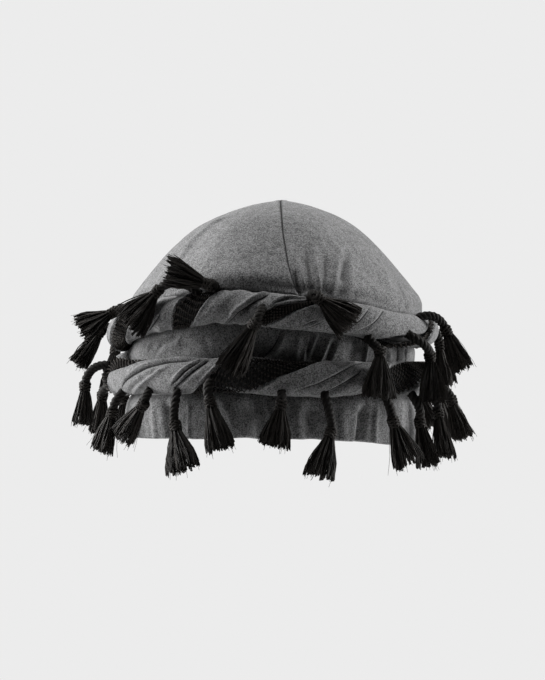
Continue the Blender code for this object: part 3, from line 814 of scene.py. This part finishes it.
# Where a roll is drawn in. Columns: angle, share of the radius taken away, half width in degrees
UPPER_WAISTS = ((-24, 0.03, 6), (10, 0.05, 5))
LOWER_WAISTS = ((-19, 0.09, 7), (32, 0.08, 6))

# Long random creases. Columns: how many round the roll, how many along each turn, depth. They fade towards
# the bed over so many degrees
DRAG = ((9, 2, 0.35 * MM), (18, 3, 0.16 * MM), (30, 12, 0.05 * MM))
DRAG_FADE = 12

# Each roll's height round the head, half height, crossings and bed
ROLLS = {
    "upper": (upper_z, UPPER_HALF_HEIGHT, UPPER_CROSSINGS, UPPER_BED),
    "lower": (lower_z, LOWER_HALF_HEIGHT, LOWER_CROSSINGS, LOWER_BED),
}


def twist_angle(crossings, turns):
    """Angle round the head where a roll has turned this many times on its way."""
    count = len(crossings)
    starts = np.array([crossings[i % count] + 360 * (i // count) for i in range(-1, count + 3)], float)
    turns = np.minimum(turns, count - 1e-6)
    i = np.floor(turns).astype(int)
    leaving = (starts[i + 2] - starts[i]) / 2
    arriving = (starts[i + 3] - starts[i + 1]) / 2
    return hermite(starts[i + 1], leaving, starts[i + 2], arriving, turns - i)


def crowded_turns(crossings, count):
    """Turns along the twist, evenly spaced behind the head and closer together in front of it."""
    fine = np.linspace(0, len(crossings), TWIST_SAMPLES)
    angles = twist_angle(crossings, fine)
    share = np.gradient(angles, fine) * (1 + FRONT_FINER * (0.5 + 0.5 * np.cos(np.radians(angles))))
    passed = np.cumsum(share) - share[0]
    return np.interp(np.arange(count) / count * passed[-1], passed, fine)


def roll_point(level, half_height, angles, around_roll, inset):
    """Points of a roll, so far under its skin, at these angles round the head and round the roll."""
    turn = np.radians(around_roll)
    out = SEAT + ROLL_HALF_DEPTH + (ROLL_HALF_DEPTH - inset) * np.cos(turn)
    return wall_point(angles, out, level(angles) + (half_height - inset) * np.sin(turn))


def roll_inset(from_edge, bed_width, valley):
    """How far under the roll's skin its cloth lies, by the angle up from the bed's lower edge."""
    off = np.minimum(from_edge - bed_width, 360 - from_edge)
    off = np.where(from_edge < bed_width, -np.minimum(from_edge, bed_width - from_edge), off)
    share = (from_edge - bed_width - BED_SIDE) / (360 - bed_width - 2 * BED_SIDE)
    at_bed = 1 - GAP / ROLL_HALF_DEPTH
    places, radii = np.array(((0, at_bed), *ROLL_LOBES, (1, at_bed))).T
    fine = np.linspace(0, 1, 101)
    lobes = np.pad(np.interp(fine, places, radii), LOBES_ROUNDED // 2, mode="edge")
    rounded = np.convolve(lobes, np.full(LOBES_ROUNDED, 1 / LOBES_ROUNDED), "valid")
    cloth = ROLL_HALF_DEPTH * (1 - np.interp(share, fine, rounded))
    cloth = cloth + bell((share - 0.5) / VALLEY_HALF_WIDTH) * valley
    lip = BED_LIP * bell((off - BED_SIDE - LIP_AWAY) / LIP_HALF_WIDTH)
    side = soft((off + 2) / (BED_SIDE + 1))
    return (TRIM_THICKNESS + TRIM_SEAT) * (1 - side) + (cloth - lip) * side, off


def make_roll(roll, creases, waists, seed):
    level, half_height, crossings, bed = ROLLS[roll]
    count = len(crossings)
    turns = crowded_turns(crossings, ROLL_STATIONS)
    angles = twist_angle(crossings, turns)
    around_bed = 360 * np.arange(ROLL_POINTS_ROUND)[:, None] / ROLL_POINTS_ROUND
    valley = VALLEY_DEPTH * ripples(seed, turns / count, 0, 4 * count, 1)
    low = -around(bed, turns, count, 1)
    high = around(bed, turns, count, 2)
    inset, off_bed = roll_inset((around_bed - low) % 360, high - low, valley)
    waist = sum(share * dip(angles, centre, width) for centre, share, width in waists)
    inset = inset + ROLL_HALF_DEPTH * waist
    skin = roll_point(level, half_height, angles, 360 * turns + around_bed, inset)
    normals = grid_normals(skin, wrap_rows=True)
    heights, folded, painted_shade_share = press_creases(skin, normals, creases)
    # Painted shade under the braid: the cloth in its bed counts as lying on a tuck's line and is fully
    # darkened
    folded = np.where(off_bed < 0, 0, folded)
    painted_shade_share = np.where(off_bed < 0, 1, painted_shade_share)
    loose = np.clip(off_bed / DRAG_FADE, 0, 1)
    for i, (round_count, along_count, depth) in enumerate(DRAG, 1):
        drag = ripples(seed + i, around_bed / 360, turns / count, round_count, along_count * count)
        heights += depth * drag * loose
    skin = skin + normals * heights[..., None]
    twist = add_piece(
        roll + "_twist", skin.reshape(-1, 3), (grid_faces(ROLL_POINTS_ROUND, ROLL_STATIONS, True),), jersey,
        "jersey", roll + "_roll", line=folded, line_share=painted_shade_share,
    )


make_roll("upper", UPPER_CREASES, UPPER_WAISTS, 20)
make_roll("lower", LOWER_CREASES, LOWER_WAISTS, 30)

# Braid in the twist of each roll
# A flat band of black cotton yarn, worked in an open crochet mesh with a small knot wherever two
# strands meet. It lies in the bed that the twisted cloth leaves for it.
TRIM_ROOM = 5
UPPER_STRANDS = 9
LOWER_STRANDS = 11
BRAID_CELL = 2.0 * MM
BRAID_POINTS_A_CELL = 4
BRAID_SIDES = 3
BRAID_SAMPLES = 2000
BRAID_YARN = 0.38 * MM
BRAID_LIFT = 0.5 * MM
BRAID_SAG = 0.15 * MM

# How far a strand strays from its place, as a share of the room for one, and how much thicker its knots are
BRAID_STRAYS = 0.16
BRAID_KNOTS = 0.65

FIBRE = 3200
FIBRE_DEPTH = 0.1 * MM


def yarn_material(name, dark, light, roughness, sheen):
    """Black yarn coloured from its dark colour towards its light one by the shade noted at each point:
    painted highlight, with some uneven tone.
    """
    material, tree = new_material(name, {
        "Roughness": roughness,
        "Specular IOR Level": 0.22,
        "Sheen Weight": sheen,
        "Sheen Roughness": 0.4,
        "Sheen Tint": (0.4, 0.38, 0.36, 1),
    })
    shade = add_node(tree, "Attribute", {}, "Fac", attribute_name="shade")
    colour = add_node(tree, "Mix", {"Factor": shade, "A": dark, "B": light}, "Result", data_type="RGBA")
    place = add_node(tree, "TexCoord", {}, "Object")
    fibre = add_node(tree, "TexNoise", {"Scale": FIBRE, "Detail": 1, "Vector": place}, "Fac")
    bump = add_node(tree, "Bump", {"Strength": 0.6, "Distance": FIBRE_DEPTH, "Height": fibre}, "Normal")
    wire(tree, tree.nodes["Principled BSDF"], {"Base Color": colour, "Normal": bump})
    return material


def strands(lines, radii, across, sides, closed=False):
    """Points and faces of round strands along lines of equally many points, with a way across each."""
    if closed:
        ahead = np.roll(lines, -1, axis=1) - np.roll(lines, 1, axis=1)
    else:
        ahead = np.gradient(lines, axis=1)
    ahead = unit(ahead)
    side = unit(np.cross(ahead, np.broadcast_to(across, lines.shape)))
    deep = np.cross(ahead, side)
    turn = 2 * np.pi * np.arange(sides) / sides
    ring = side[:, :, None] * np.cos(turn)[:, None] + deep[:, :, None] * np.sin(turn)[:, None]
    points = lines[:, :, None] + ring * np.broadcast_to(radii, lines.shape[:2])[:, :, None, None]
    count, length = lines.shape[:2]
    one = grid_faces(length, sides, wrap_rows=closed)
    faces = one[None] + np.arange(count)[:, None, None] * length * sides
    return points.reshape(-1, 3), faces.reshape(-1, 4)


def make_braid(roll, looseness, strand_count, seed):
    level, half_height, crossings, bed = ROLLS[roll]
    count = len(crossings)
    fine = np.linspace(0, count, BRAID_SAMPLES)
    middle = roll_point(level, half_height, twist_angle(crossings, fine), 360 * fine, 0)
    passed = np.concatenate(([0], np.cumsum(np.linalg.norm(np.diff(middle, axis=0), axis=1))))
    cells = round(passed[-1] / BRAID_CELL / 2) * 2
    along = np.arange(cells * BRAID_POINTS_A_CELL) / BRAID_POINTS_A_CELL
    turns = np.interp(along / cells * passed[-1], passed, fine) % count
    angles = twist_angle(crossings, turns)
    low = -around(bed, turns, count, 1) + TRIM_ROOM
    high = around(bed, turns, count, 2) - TRIM_ROOM
    strand = np.arange(strand_count)[:, None]
    phase = np.pi * (along[None] + strand)
    strays = ripples(seed, along / cells, strand / strand_count, cells, 20)
    share = np.clip((strand + 0.5 + 0.5 * np.cos(phase) + BRAID_STRAYS * strays) / strand_count, 0, 1)
    knotted = np.cos(phase) ** 2
    inset = TRIM_THICKNESS / 2 - BRAID_LIFT * (2 * knotted - 1) - BRAID_SAG * np.sin(phase / 2 + strand)
    inset = inset - TRIM_RISE * around(looseness, turns, count) * share
    lines = roll_point(level, half_height, angles, 360 * turns + low + (high - low) * share, inset)
    radii = BRAID_YARN * (0.9 + BRAID_KNOTS * knotted**5)
    points, faces = strands(lines, radii, outwards_at(angles), BRAID_SIDES, closed=True)
    rng = np.random.default_rng(seed)
    # Painted highlight on each knot where two strands cross, dimmed at random
    shade = np.repeat((0.05 + 0.95 * knotted**7) * rng.uniform(0.5, 1, phase.shape), BRAID_SIDES)
    add_piece(roll + "_braid", points, (faces,), crochet_yarn, "braid", roll + "_trim", shade=shade)


# Its light colour is the painted highlight on the knots
crochet_yarn = yarn_material(
    "black_crochet_yarn", (0.004, 0.0036, 0.0033, 1), (0.06, 0.053, 0.047, 1), 0.85, 0
)
make_braid("upper", UPPER_LOOSE, UPPER_STRANDS, 40)
make_braid("lower", LOWER_LOOSE, LOWER_STRANDS, 50)

# Tassels
# Each is a bundle of black thread on a short three-ply cord that comes out of the twist. The bundle
# is laced tight under its head, and the cut ends flare below in uneven locks.
STEM_LENGTH = 20 * MM
STEM_BOW = 0.17
STEM_SUNK = 1.2 * MM
STEM_SEAT = 0.5 * MM
STEM_STEP = 0.9 * MM
STEM_INTO_KNOT = 0.15
STEM_FEWEST_POINTS = 10
PLIES = 3
PLY_RADIUS = 1.45 * MM
PLY_OFFSET = 1.3 * MM
PLY_PITCH = 8 * MM
PLY_SIDES = 6

# Head of the bundle and its lacing, which goes round this many half turns each way
KNOT_RADIUS = 3.4 * MM
KNOT_LENGTH = 6 * MM
KNOT_RINGS = 9
KNOT_SPAN = (-0.06, 1.1)
KNOT_SIDES = 12
KNOT_UNDER_LACING = 1.0 * MM
NECK = 0.9
NECK_DOWN = 0.42
LACES = 4
LACE_POINTS = 18
LACE_SIDES = 4
LACE_RADIUS = 0.55 * MM
LACE_WEAVE = 0.3 * MM
LACE_SUNK = 0.45 * MM
LACE_STARTS = 0.02
LACE_HALF_TURNS = 1.7

# Skirt: its half spread and depth at the cut ends, and its threads, with a few stray hairs
SKIRT_LENGTH = 22 * MM
SKIRT_HALF_SPREAD = 10.2 * MM
SKIRT_HALF_DEPTH = 6.2 * MM
LOCKS = 40
THREADS_IN_LOCK = 7
THREAD_POINTS = 6
THREAD_SIDES = 3
THREAD_RADIUS = 0.36 * MM
THREAD_TAPER = 0.2
THREAD_WAVE = 0.45 * MM
WAVE_RADIANS = (5, 9)
HAIRS = 12
HAIR_RADIUS = 0.13 * MM
HAIR_SPREADS = (0.7, 1.1)
HAIR_LENGTHS = (1.02, 1.2)
GOLDEN_SHARE = (math.sqrt(5) - 1) / 2

# How much locks and threads differ: in length and fan as shares, and in the way that their ends bend
LOCK_UNEVEN = 0.035
THREAD_UNEVEN = 0.02
THREAD_FAN = 0.06
LOCK_BEND = 0.55 * MM
THREAD_BEND = 0.2 * MM
HAIR_BEND = 1.4 * MM

# How far stem, lacing, locks, threads and hairs go from the yarn's dark colour, 0, to its light one, 1:
# uneven tone, and painted highlight on the lit threads and lacing
STEM_SHADE = 0.2
LACE_SHADES = (0.2, 1)
LOCK_SHADE = 0.6
THREAD_SHADE = 0.4
HAIR_SHADE = 0.3

# Tassels. Columns: roll, angle, angle round the roll from facing out to its top, share of the stem, the
# stem's lean from hanging down towards +angle and its tilt outwards, the skirt's lean and tilt, shares of
# the skirt's length and of its spread
TASSELS = (
    ("upper", -20, 95, 0.36, -150, 62, -108, 12, 0.95, 0.85),
    ("upper", -26, 82, 1.24, -91, 10, -42, 9, 1.0, 1.15),
    ("upper", -63, 68, 0.46, -74, 40, -32, 56, 0.82, 1.15),
    ("upper", -86, 30, 0.3, -20, 50, 0, 34, 0.9, 0.95),
    ("upper", -3, 5, 0.6, -24, 34, -28, 4, 1.15, 0.85),
    ("upper", 12.5, 76, 0.4, 80, 70, 51, 12, 0.9, 1.0),
    ("upper", 62, 65, 1.0, 60, 37, 16, 20, 0.95, 1.05),
    ("upper", 50.5, -20, 1.0, 48, 17, -3, 7, 1.0, 1.4),
    ("upper", 34, -72, 0.6, 12, 46, -7, 4, 1.0, 1.15),
    ("lower", -80, 50, 1.0, -27, 42, 2, 3, 0.85, 0.62),
    ("lower", -95, -30, 0.6, -50, 30, 0, 6, 0.85, 0.6),
    ("lower", -64, -56, 0.66, -19, 20, -14, 12, 0.9, 1.0),
    ("lower", -46, -56, 0.5, 11, 34, -42, 6, 0.95, 0.8),
    ("lower", -33, -56, 1.0, 7, 12, 19, 6, 1.0, 1.15),
    ("lower", -20, -26, 0.6, 10, 16, 17, 5, 1.05, 0.85),
    ("lower", 3, -56, 0.4, -6, 34, -11, 6, 0.9, 0.85),
    ("lower", 17, -56, 1.12, 2, 19, -19, 6, 1.0, 0.85),
    ("lower", 40, -56, 0.85, 4, 20, 21, 8, 1.0, 1.15),
    ("lower", 55, -56, 0.9, 23, 6, 4, 10, 1.0, 0.85),
    ("lower", 69.5, -42, 0.74, 16, 16, -4, 11, 1.0, 1.0),
    ("lower", 84, -22, 0.66, 16, 40, 0, 18, 0.9, 0.95),
    ("upper", 104, 10, 0.55, 10, 36, 6, 12, 0.95, 0.85),
    ("lower", 102, -30, 0.45, 6, 40, 14, 14, 0.95, 0.8),
    ("lower", 122, -20, 0.4, 0, 50, -20, 10, 0.95, 0.85),
    ("upper", 141, 15, 0.75, 14, 30, -6, 10, 1.0, 0.85),
    ("lower", 144, -20, 0.35, 0, 55, 24, 10, 0.9, 0.85),
    ("lower", 164, -20, 0.4, 4, 50, -18, 10, 0.95, 0.85),
    ("upper", 176, 10, 0.65, -6, 32, 8, 10, 1.0, 0.9),
    ("lower", 186, -20, 0.35, 6, 55, 22, 10, 0.9, 0.85),
    ("lower", 206, -20, 0.4, -4, 50, -22, 10, 0.95, 0.85),
    ("upper", 216, 10, 0.75, 8, 30, -8, 10, 1.0, 0.85),
    ("lower", 228, -20, 0.35, 4, 55, 20, 10, 0.9, 0.85),
    ("upper", 246, 5, 0.5, 4, 36, 14, 2, 0.95, 0.8),
    ("lower", 244, -40, 0.45, -6, 30, -6, 2, 0.9, 0.8),
)


def surface_tree(node):
    """The faces of a solid, ready to be met by a line."""
    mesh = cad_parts[node].data
    return BVHTree.FromPolygons([v.co for v in mesh.vertices], [f.vertices for f in mesh.polygons])


SURFACES = {roll: (surface_tree(roll + "_roll"), surface_tree(roll + "_trim")) for roll in ROLLS}


def hanging(angle, lean, tilt):
    """Direction that leans from hanging down towards +angle, and tilts away from the head."""
    out = outwards_at(angle)
    side = np.array((-out[1], out[0], 0))
    lean, tilt = math.radians(lean), math.radians(tilt)
    down = side * math.sin(lean) - np.array((0, 0, math.cos(lean)))
    return down * math.cos(tilt) + out * math.sin(tilt)


def seat_on_roll(roll, angle, around_roll):
    """Where a line from outside to the roll's middle first meets cloth or braid, and how that face looks."""
    turn = math.radians(around_roll)
    away = outwards_at(angle) * math.cos(turn) + np.array((0, 0, math.sin(turn)))
    middle = wall_point(angle, SEAT + ROLL_HALF_DEPTH, ROLLS[roll][0](angle))
    reach = 2 * (ROLL_HALF_DEPTH + UPPER_HALF_HEIGHT + LOWER_HALF_HEIGHT)
    start = Vector(middle + away * reach)
    hits = [surface.ray_cast(start, Vector(-away), reach) for surface in SURFACES[roll]]
    place, facing, _, _ = min((hit for hit in hits if hit[0] is not None), key=lambda hit: hit[3])
    return np.array(place), np.array(facing)


def make_stem(root, middle, top, leaving):
    """Three plies laid round each other along a bow from the cloth to the knot."""
    length = np.linalg.norm(middle - root) + np.linalg.norm(top - middle) + STEM_SUNK
    start = root - leaving * STEM_SUNK
    t = np.linspace(0, 1, max(STEM_FEWEST_POINTS, round(length / STEM_STEP)))[:, None]
    bend = 2 * middle - (start + top) / 2
    centre = start * (1 - t) ** 2 + bend * 2 * t * (1 - t) + top * t**2
    ahead = unit(np.gradient(centre, axis=0))
    across = np.cross(leaving, top - root)
    if np.linalg.norm(across) < 1e-5:
        across = np.array((0, 0, 1.0))
    beside = unit(np.cross(ahead, unit(across)))
    over = np.cross(ahead, beside)
    turn = 2 * np.pi * (t * length / PLY_PITCH + np.arange(PLIES)[:, None, None] / PLIES)
    lines = centre + PLY_OFFSET * (np.cos(turn) * beside + np.sin(turn) * over)
    return strands(lines, PLY_RADIUS, over, PLY_SIDES)


def knot_radius(share):
    """Half thickness of the knot from its top, 0, to the neck, 1."""
    shoulder = np.sin(np.pi / 2 * np.clip((share + 0.1) / 0.35, 0, 1)) ** 0.6
    return KNOT_RADIUS * shoulder * (1 - (1 - NECK) * np.clip(share, 0, 1) ** 2)


def make_knot(knot, down, side, rng):
    """The bundle's rounded head, crossed with lacing and bound at the neck."""
    deep = np.cross(down, side)

    def on_knot(share, turn, over):
        size = knot_radius(share) + over
        ring = side * np.cos(turn)[..., None] + deep * np.sin(turn)[..., None]
        return knot + down * ((share - 0.5) * KNOT_LENGTH)[..., None] + ring * size[..., None]

    turn = 2 * np.pi * np.arange(KNOT_SIDES) / KNOT_SIDES
    share = np.linspace(*KNOT_SPAN, KNOT_RINGS)[:, None] + 0 * turn
    head = on_knot(share, 0 * share + turn, -KNOT_UNDER_LACING)
    parts = [(head.reshape(-1, 3), grid_faces(KNOT_RINGS, KNOT_SIDES))]
    t = np.linspace(0, 1, LACE_POINTS)
    for hand in (-1, 1):
        start = rng.uniform(0, 2 * np.pi) + 2 * np.pi * np.arange(LACES)[:, None] / LACES
        turn = start + hand * LACE_HALF_TURNS * np.pi * t
        weave = LACE_WEAVE * hand * np.sin(2 * LACES * np.pi * t) - LACE_SUNK
        lace = on_knot(LACE_STARTS + t + 0 * turn, turn, weave)
        parts.append(strands(lace, LACE_RADIUS, unit(lace - knot), LACE_SIDES))
    return parts


def make_skirt(neck, down, side, length, spread, rng):
    """Threads from the neck to the cut ends, gathered in locks that end unevenly."""
    deep = np.cross(down, side)
    count = LOCKS * THREADS_IN_LOCK
    lock = np.arange(LOCKS)
    sideways = 2 * (lock + 0.5) / LOCKS - 1
    forwards = (2 * (lock * GOLDEN_SHARE % 1) - 1) * np.sqrt(1 - sideways**2)
    spots = np.repeat(np.stack((sideways * 0.95, forwards), axis=-1), THREADS_IN_LOCK, axis=0)
    ends = 1 + rng.normal(0, LOCK_UNEVEN, LOCKS)
    bend = rng.normal(0, LOCK_BEND, (LOCKS, 2))
    fan = rng.normal(0, THREAD_FAN, (count, 2))
    ends = np.repeat(ends, THREADS_IN_LOCK) + rng.normal(0, THREAD_UNEVEN, count)
    bend = np.repeat(bend, THREADS_IN_LOCK, axis=0) + rng.normal(0, THREAD_BEND, (count, 2))
    # Some locks and threads are lighter than others: uneven tone, and painted highlight on the threads that
    # catch the light
    shade = np.repeat(rng.uniform(0, 1, LOCKS), THREADS_IN_LOCK) * LOCK_SHADE
    shade = shade + rng.uniform(0, THREAD_SHADE, count)

    turn = rng.uniform(0, 2 * np.pi, HAIRS)
    hairs = np.stack((np.cos(turn), np.sin(turn)), axis=-1) * rng.uniform(*HAIR_SPREADS, HAIRS)[:, None]
    spots = np.concatenate((spots, hairs))
    fan = np.concatenate((fan, np.zeros((HAIRS, 2))))
    ends = np.concatenate((ends, rng.uniform(*HAIR_LENGTHS, HAIRS)))
    bend = np.concatenate((bend, rng.normal(0, HAIR_BEND, (HAIRS, 2))))
    radii = np.concatenate((np.full(count, THREAD_RADIUS), np.full(HAIRS, HAIR_RADIUS)))
    shade = np.concatenate((shade, np.full(HAIRS, HAIR_SHADE)))

    t = np.linspace(0, 1, THREAD_POINTS)[None]
    flare = 0.5 * np.sin(np.pi / 2 * t) + 0.5 * t
    tight = KNOT_RADIUS * NECK - THREAD_RADIUS
    half_width = tight + (SKIRT_HALF_SPREAD * spread - tight) * flare
    half_depth = tight + (SKIRT_HALF_DEPTH - tight) * flare
    loose = np.sin(np.pi * t) * 0.9 + 0.5 * t
    start = rng.uniform(0, 2 * np.pi, (2, len(spots), 1))
    pitch = rng.uniform(*WAVE_RADIANS, (2, len(spots), 1))
    wave = THREAD_WAVE * np.sin(start + pitch * t) * t**0.5
    x = (spots[:, :1] + fan[:, :1] * loose) * half_width + bend[:, :1] * t**2 + wave[0]
    y = (spots[:, 1:] + fan[:, 1:] * loose) * half_depth + bend[:, 1:] * t**2 + wave[1]
    fall = SKIRT_LENGTH * length * ends[:, None] * t
    lines = neck + down * fall[..., None] + side * x[..., None] + deep * y[..., None]
    points, faces = strands(lines, radii[:, None] * (1 - THREAD_TAPER * t**5), deep, THREAD_SIDES)
    return points, faces, np.repeat(shade, THREAD_POINTS * THREAD_SIDES)


def make_tassel(number, row):
    roll, angle, around_roll, stem, stem_lean, stem_tilt, skirt_lean, skirt_tilt, length, spread = row
    rng = np.random.default_rng(100 + number)
    place, leaving = seat_on_roll(roll, angle, around_roll)
    root = place + leaving * STEM_SEAT
    knot = root + hanging(angle, stem_lean, stem_tilt) * STEM_LENGTH * stem
    down = hanging(angle, skirt_lean, skirt_tilt)
    top = knot - down * KNOT_LENGTH / 2
    middle = (root + top) / 2 + leaving * np.linalg.norm(top - root) * STEM_BOW
    side = unit(np.cross(down, outwards_at(angle)))
    parts = [make_stem(root, middle, top + down * KNOT_LENGTH * STEM_INTO_KNOT, leaving)]
    parts.extend(make_knot(knot, down, side, rng))
    shades = [np.full(len(parts[0][0]), STEM_SHADE), np.zeros(len(parts[1][0]))]
    # The lacing is lighter at random, as painted glints
    for lacing, _ in parts[2:]:
        shades.append(rng.uniform(*LACE_SHADES, len(lacing)))
    neck = knot + down * KNOT_LENGTH * NECK_DOWN
    points, faces, shade = make_skirt(neck, down, side, length, spread, rng)
    parts.append((points, faces))
    shades.append(shade)
    starts = np.cumsum([0] + [len(points) for points, _ in parts[:-1]])
    add_piece(
        f"thread_tassel_{number:02d}", np.concatenate([points for points, _ in parts]),
        [faces + start for (_, faces), start in zip(parts, starts)], tassel_thread, "thread",
        f"tassel_{number:02d}", shade=np.concatenate(shades),
    )


# Its light colour is partly uneven tone of the thread and partly painted highlight on lit threads
tassel_thread = yarn_material(
    "black_tassel_thread", (0.0045, 0.004, 0.0034, 1), (0.036, 0.031, 0.027, 1), 0.7, 0.08
)
for number, row in enumerate(TASSELS, 1):
    make_tassel(number, row)

# Studio
# The hat floats as if on a head, over a pale floor that fades into the pale surroundings. Big soft
# lamps from above and from both sides behind rim the cloth, and little light comes from the front.
FLOOR_DROP = 0.32
FLOOR_RADIUS = 1.05
FLOOR_SOLID = 0.35
FLOOR_SIDES = 96
PALE = 0.839
AMBIENT = 0.015

# Lamps. Columns: name, place, width, height, watts; each looks at the hat's middle
LAMPS = (
    ("overhead_lamp", (0, -0.1, 1.3), 0.9, 0.8, 5.5),
    ("upper_left_lamp", (-0.8, -0.1, 1.0), 0.7, 0.7, 8),
    ("left_lamp", (-1.15, 0.35, 0.25), 0.5, 0.9, 24),
    ("right_lamp", (1.15, 0.3, 0.25), 0.5, 0.9, 17),
    ("right_side_lamp", (1.25, -0.1, 0.25), 0.5, 0.9, 2),
)
HAT_MIDDLE = Vector((0, 0, 0.05))

for name, place, width, height, watts in LAMPS:
    lamp = bpy.data.lights.new(name, "AREA")
    lamp.shape = "RECTANGLE"
    lamp.size = width
    lamp.size_y = height
    lamp.energy = watts
    holder = bpy.data.objects.new(name, lamp)
    holder.location = place
    holder.rotation_euler = (HAT_MIDDLE - Vector(place)).to_track_quat("-Z", "Y").to_euler()
    holder.visible_camera = False
    bpy.context.scene.collection.objects.link(holder)

world = bpy.data.worlds.new("pale_surroundings")
world.use_nodes = True
bpy.context.scene.world = world
bpy.context.scene.view_settings.view_transform = "Standard"
tree = world.node_tree
shown = tree.nodes["Background"]
wire(tree, shown, {"Color": (PALE, PALE, PALE, 1)})
dim = add_node(tree, "Background", {"Color": (AMBIENT, AMBIENT, AMBIENT, 1)})
seen = add_node(tree, "LightPath", {}, "Is Camera Ray")
mixed = add_node(tree, "MixShader", {0: seen, 1: dim, 2: shown.outputs["Background"]})
wire(tree, tree.nodes["World Output"], {"Surface": mixed})

turn = 2 * np.pi * np.arange(FLOOR_SIDES) / FLOOR_SIDES
rim = np.stack((FLOOR_RADIUS * np.cos(turn), FLOOR_RADIUS * np.sin(turn), 0 * turn - FLOOR_DROP), axis=-1)
floor_mesh = bpy.data.meshes.new("floor")
floor_mesh.from_pydata(rim.tolist(), [], [list(range(FLOOR_SIDES))])
floor = bpy.data.objects.new("floor", floor_mesh)
bpy.context.scene.collection.objects.link(floor)
floor_look, tree = new_material("pale_floor", {"Base Color": (0.8, 0.8, 0.8, 1), "Roughness": 0.9})
place = add_node(tree, "TexCoord", {}, "Object")
from_middle = add_node(tree, "VectorMath", {0: place}, "Value", operation="LENGTH")
fading = {"Value": from_middle, "From Min": FLOOR_SOLID, "From Max": FLOOR_RADIUS}
faded = add_node(tree, "MapRange", fading, "Result", interpolation_type="SMOOTHSTEP")
solid = tree.nodes["Principled BSDF"].outputs["BSDF"]
mixed = add_node(tree, "MixShader", {0: faded, 1: solid, 2: add_node(tree, "BsdfTransparent", {})})
wire(tree, tree.nodes["Material Output"], {"Surface": mixed})
floor_mesh.materials.append(floor_look)
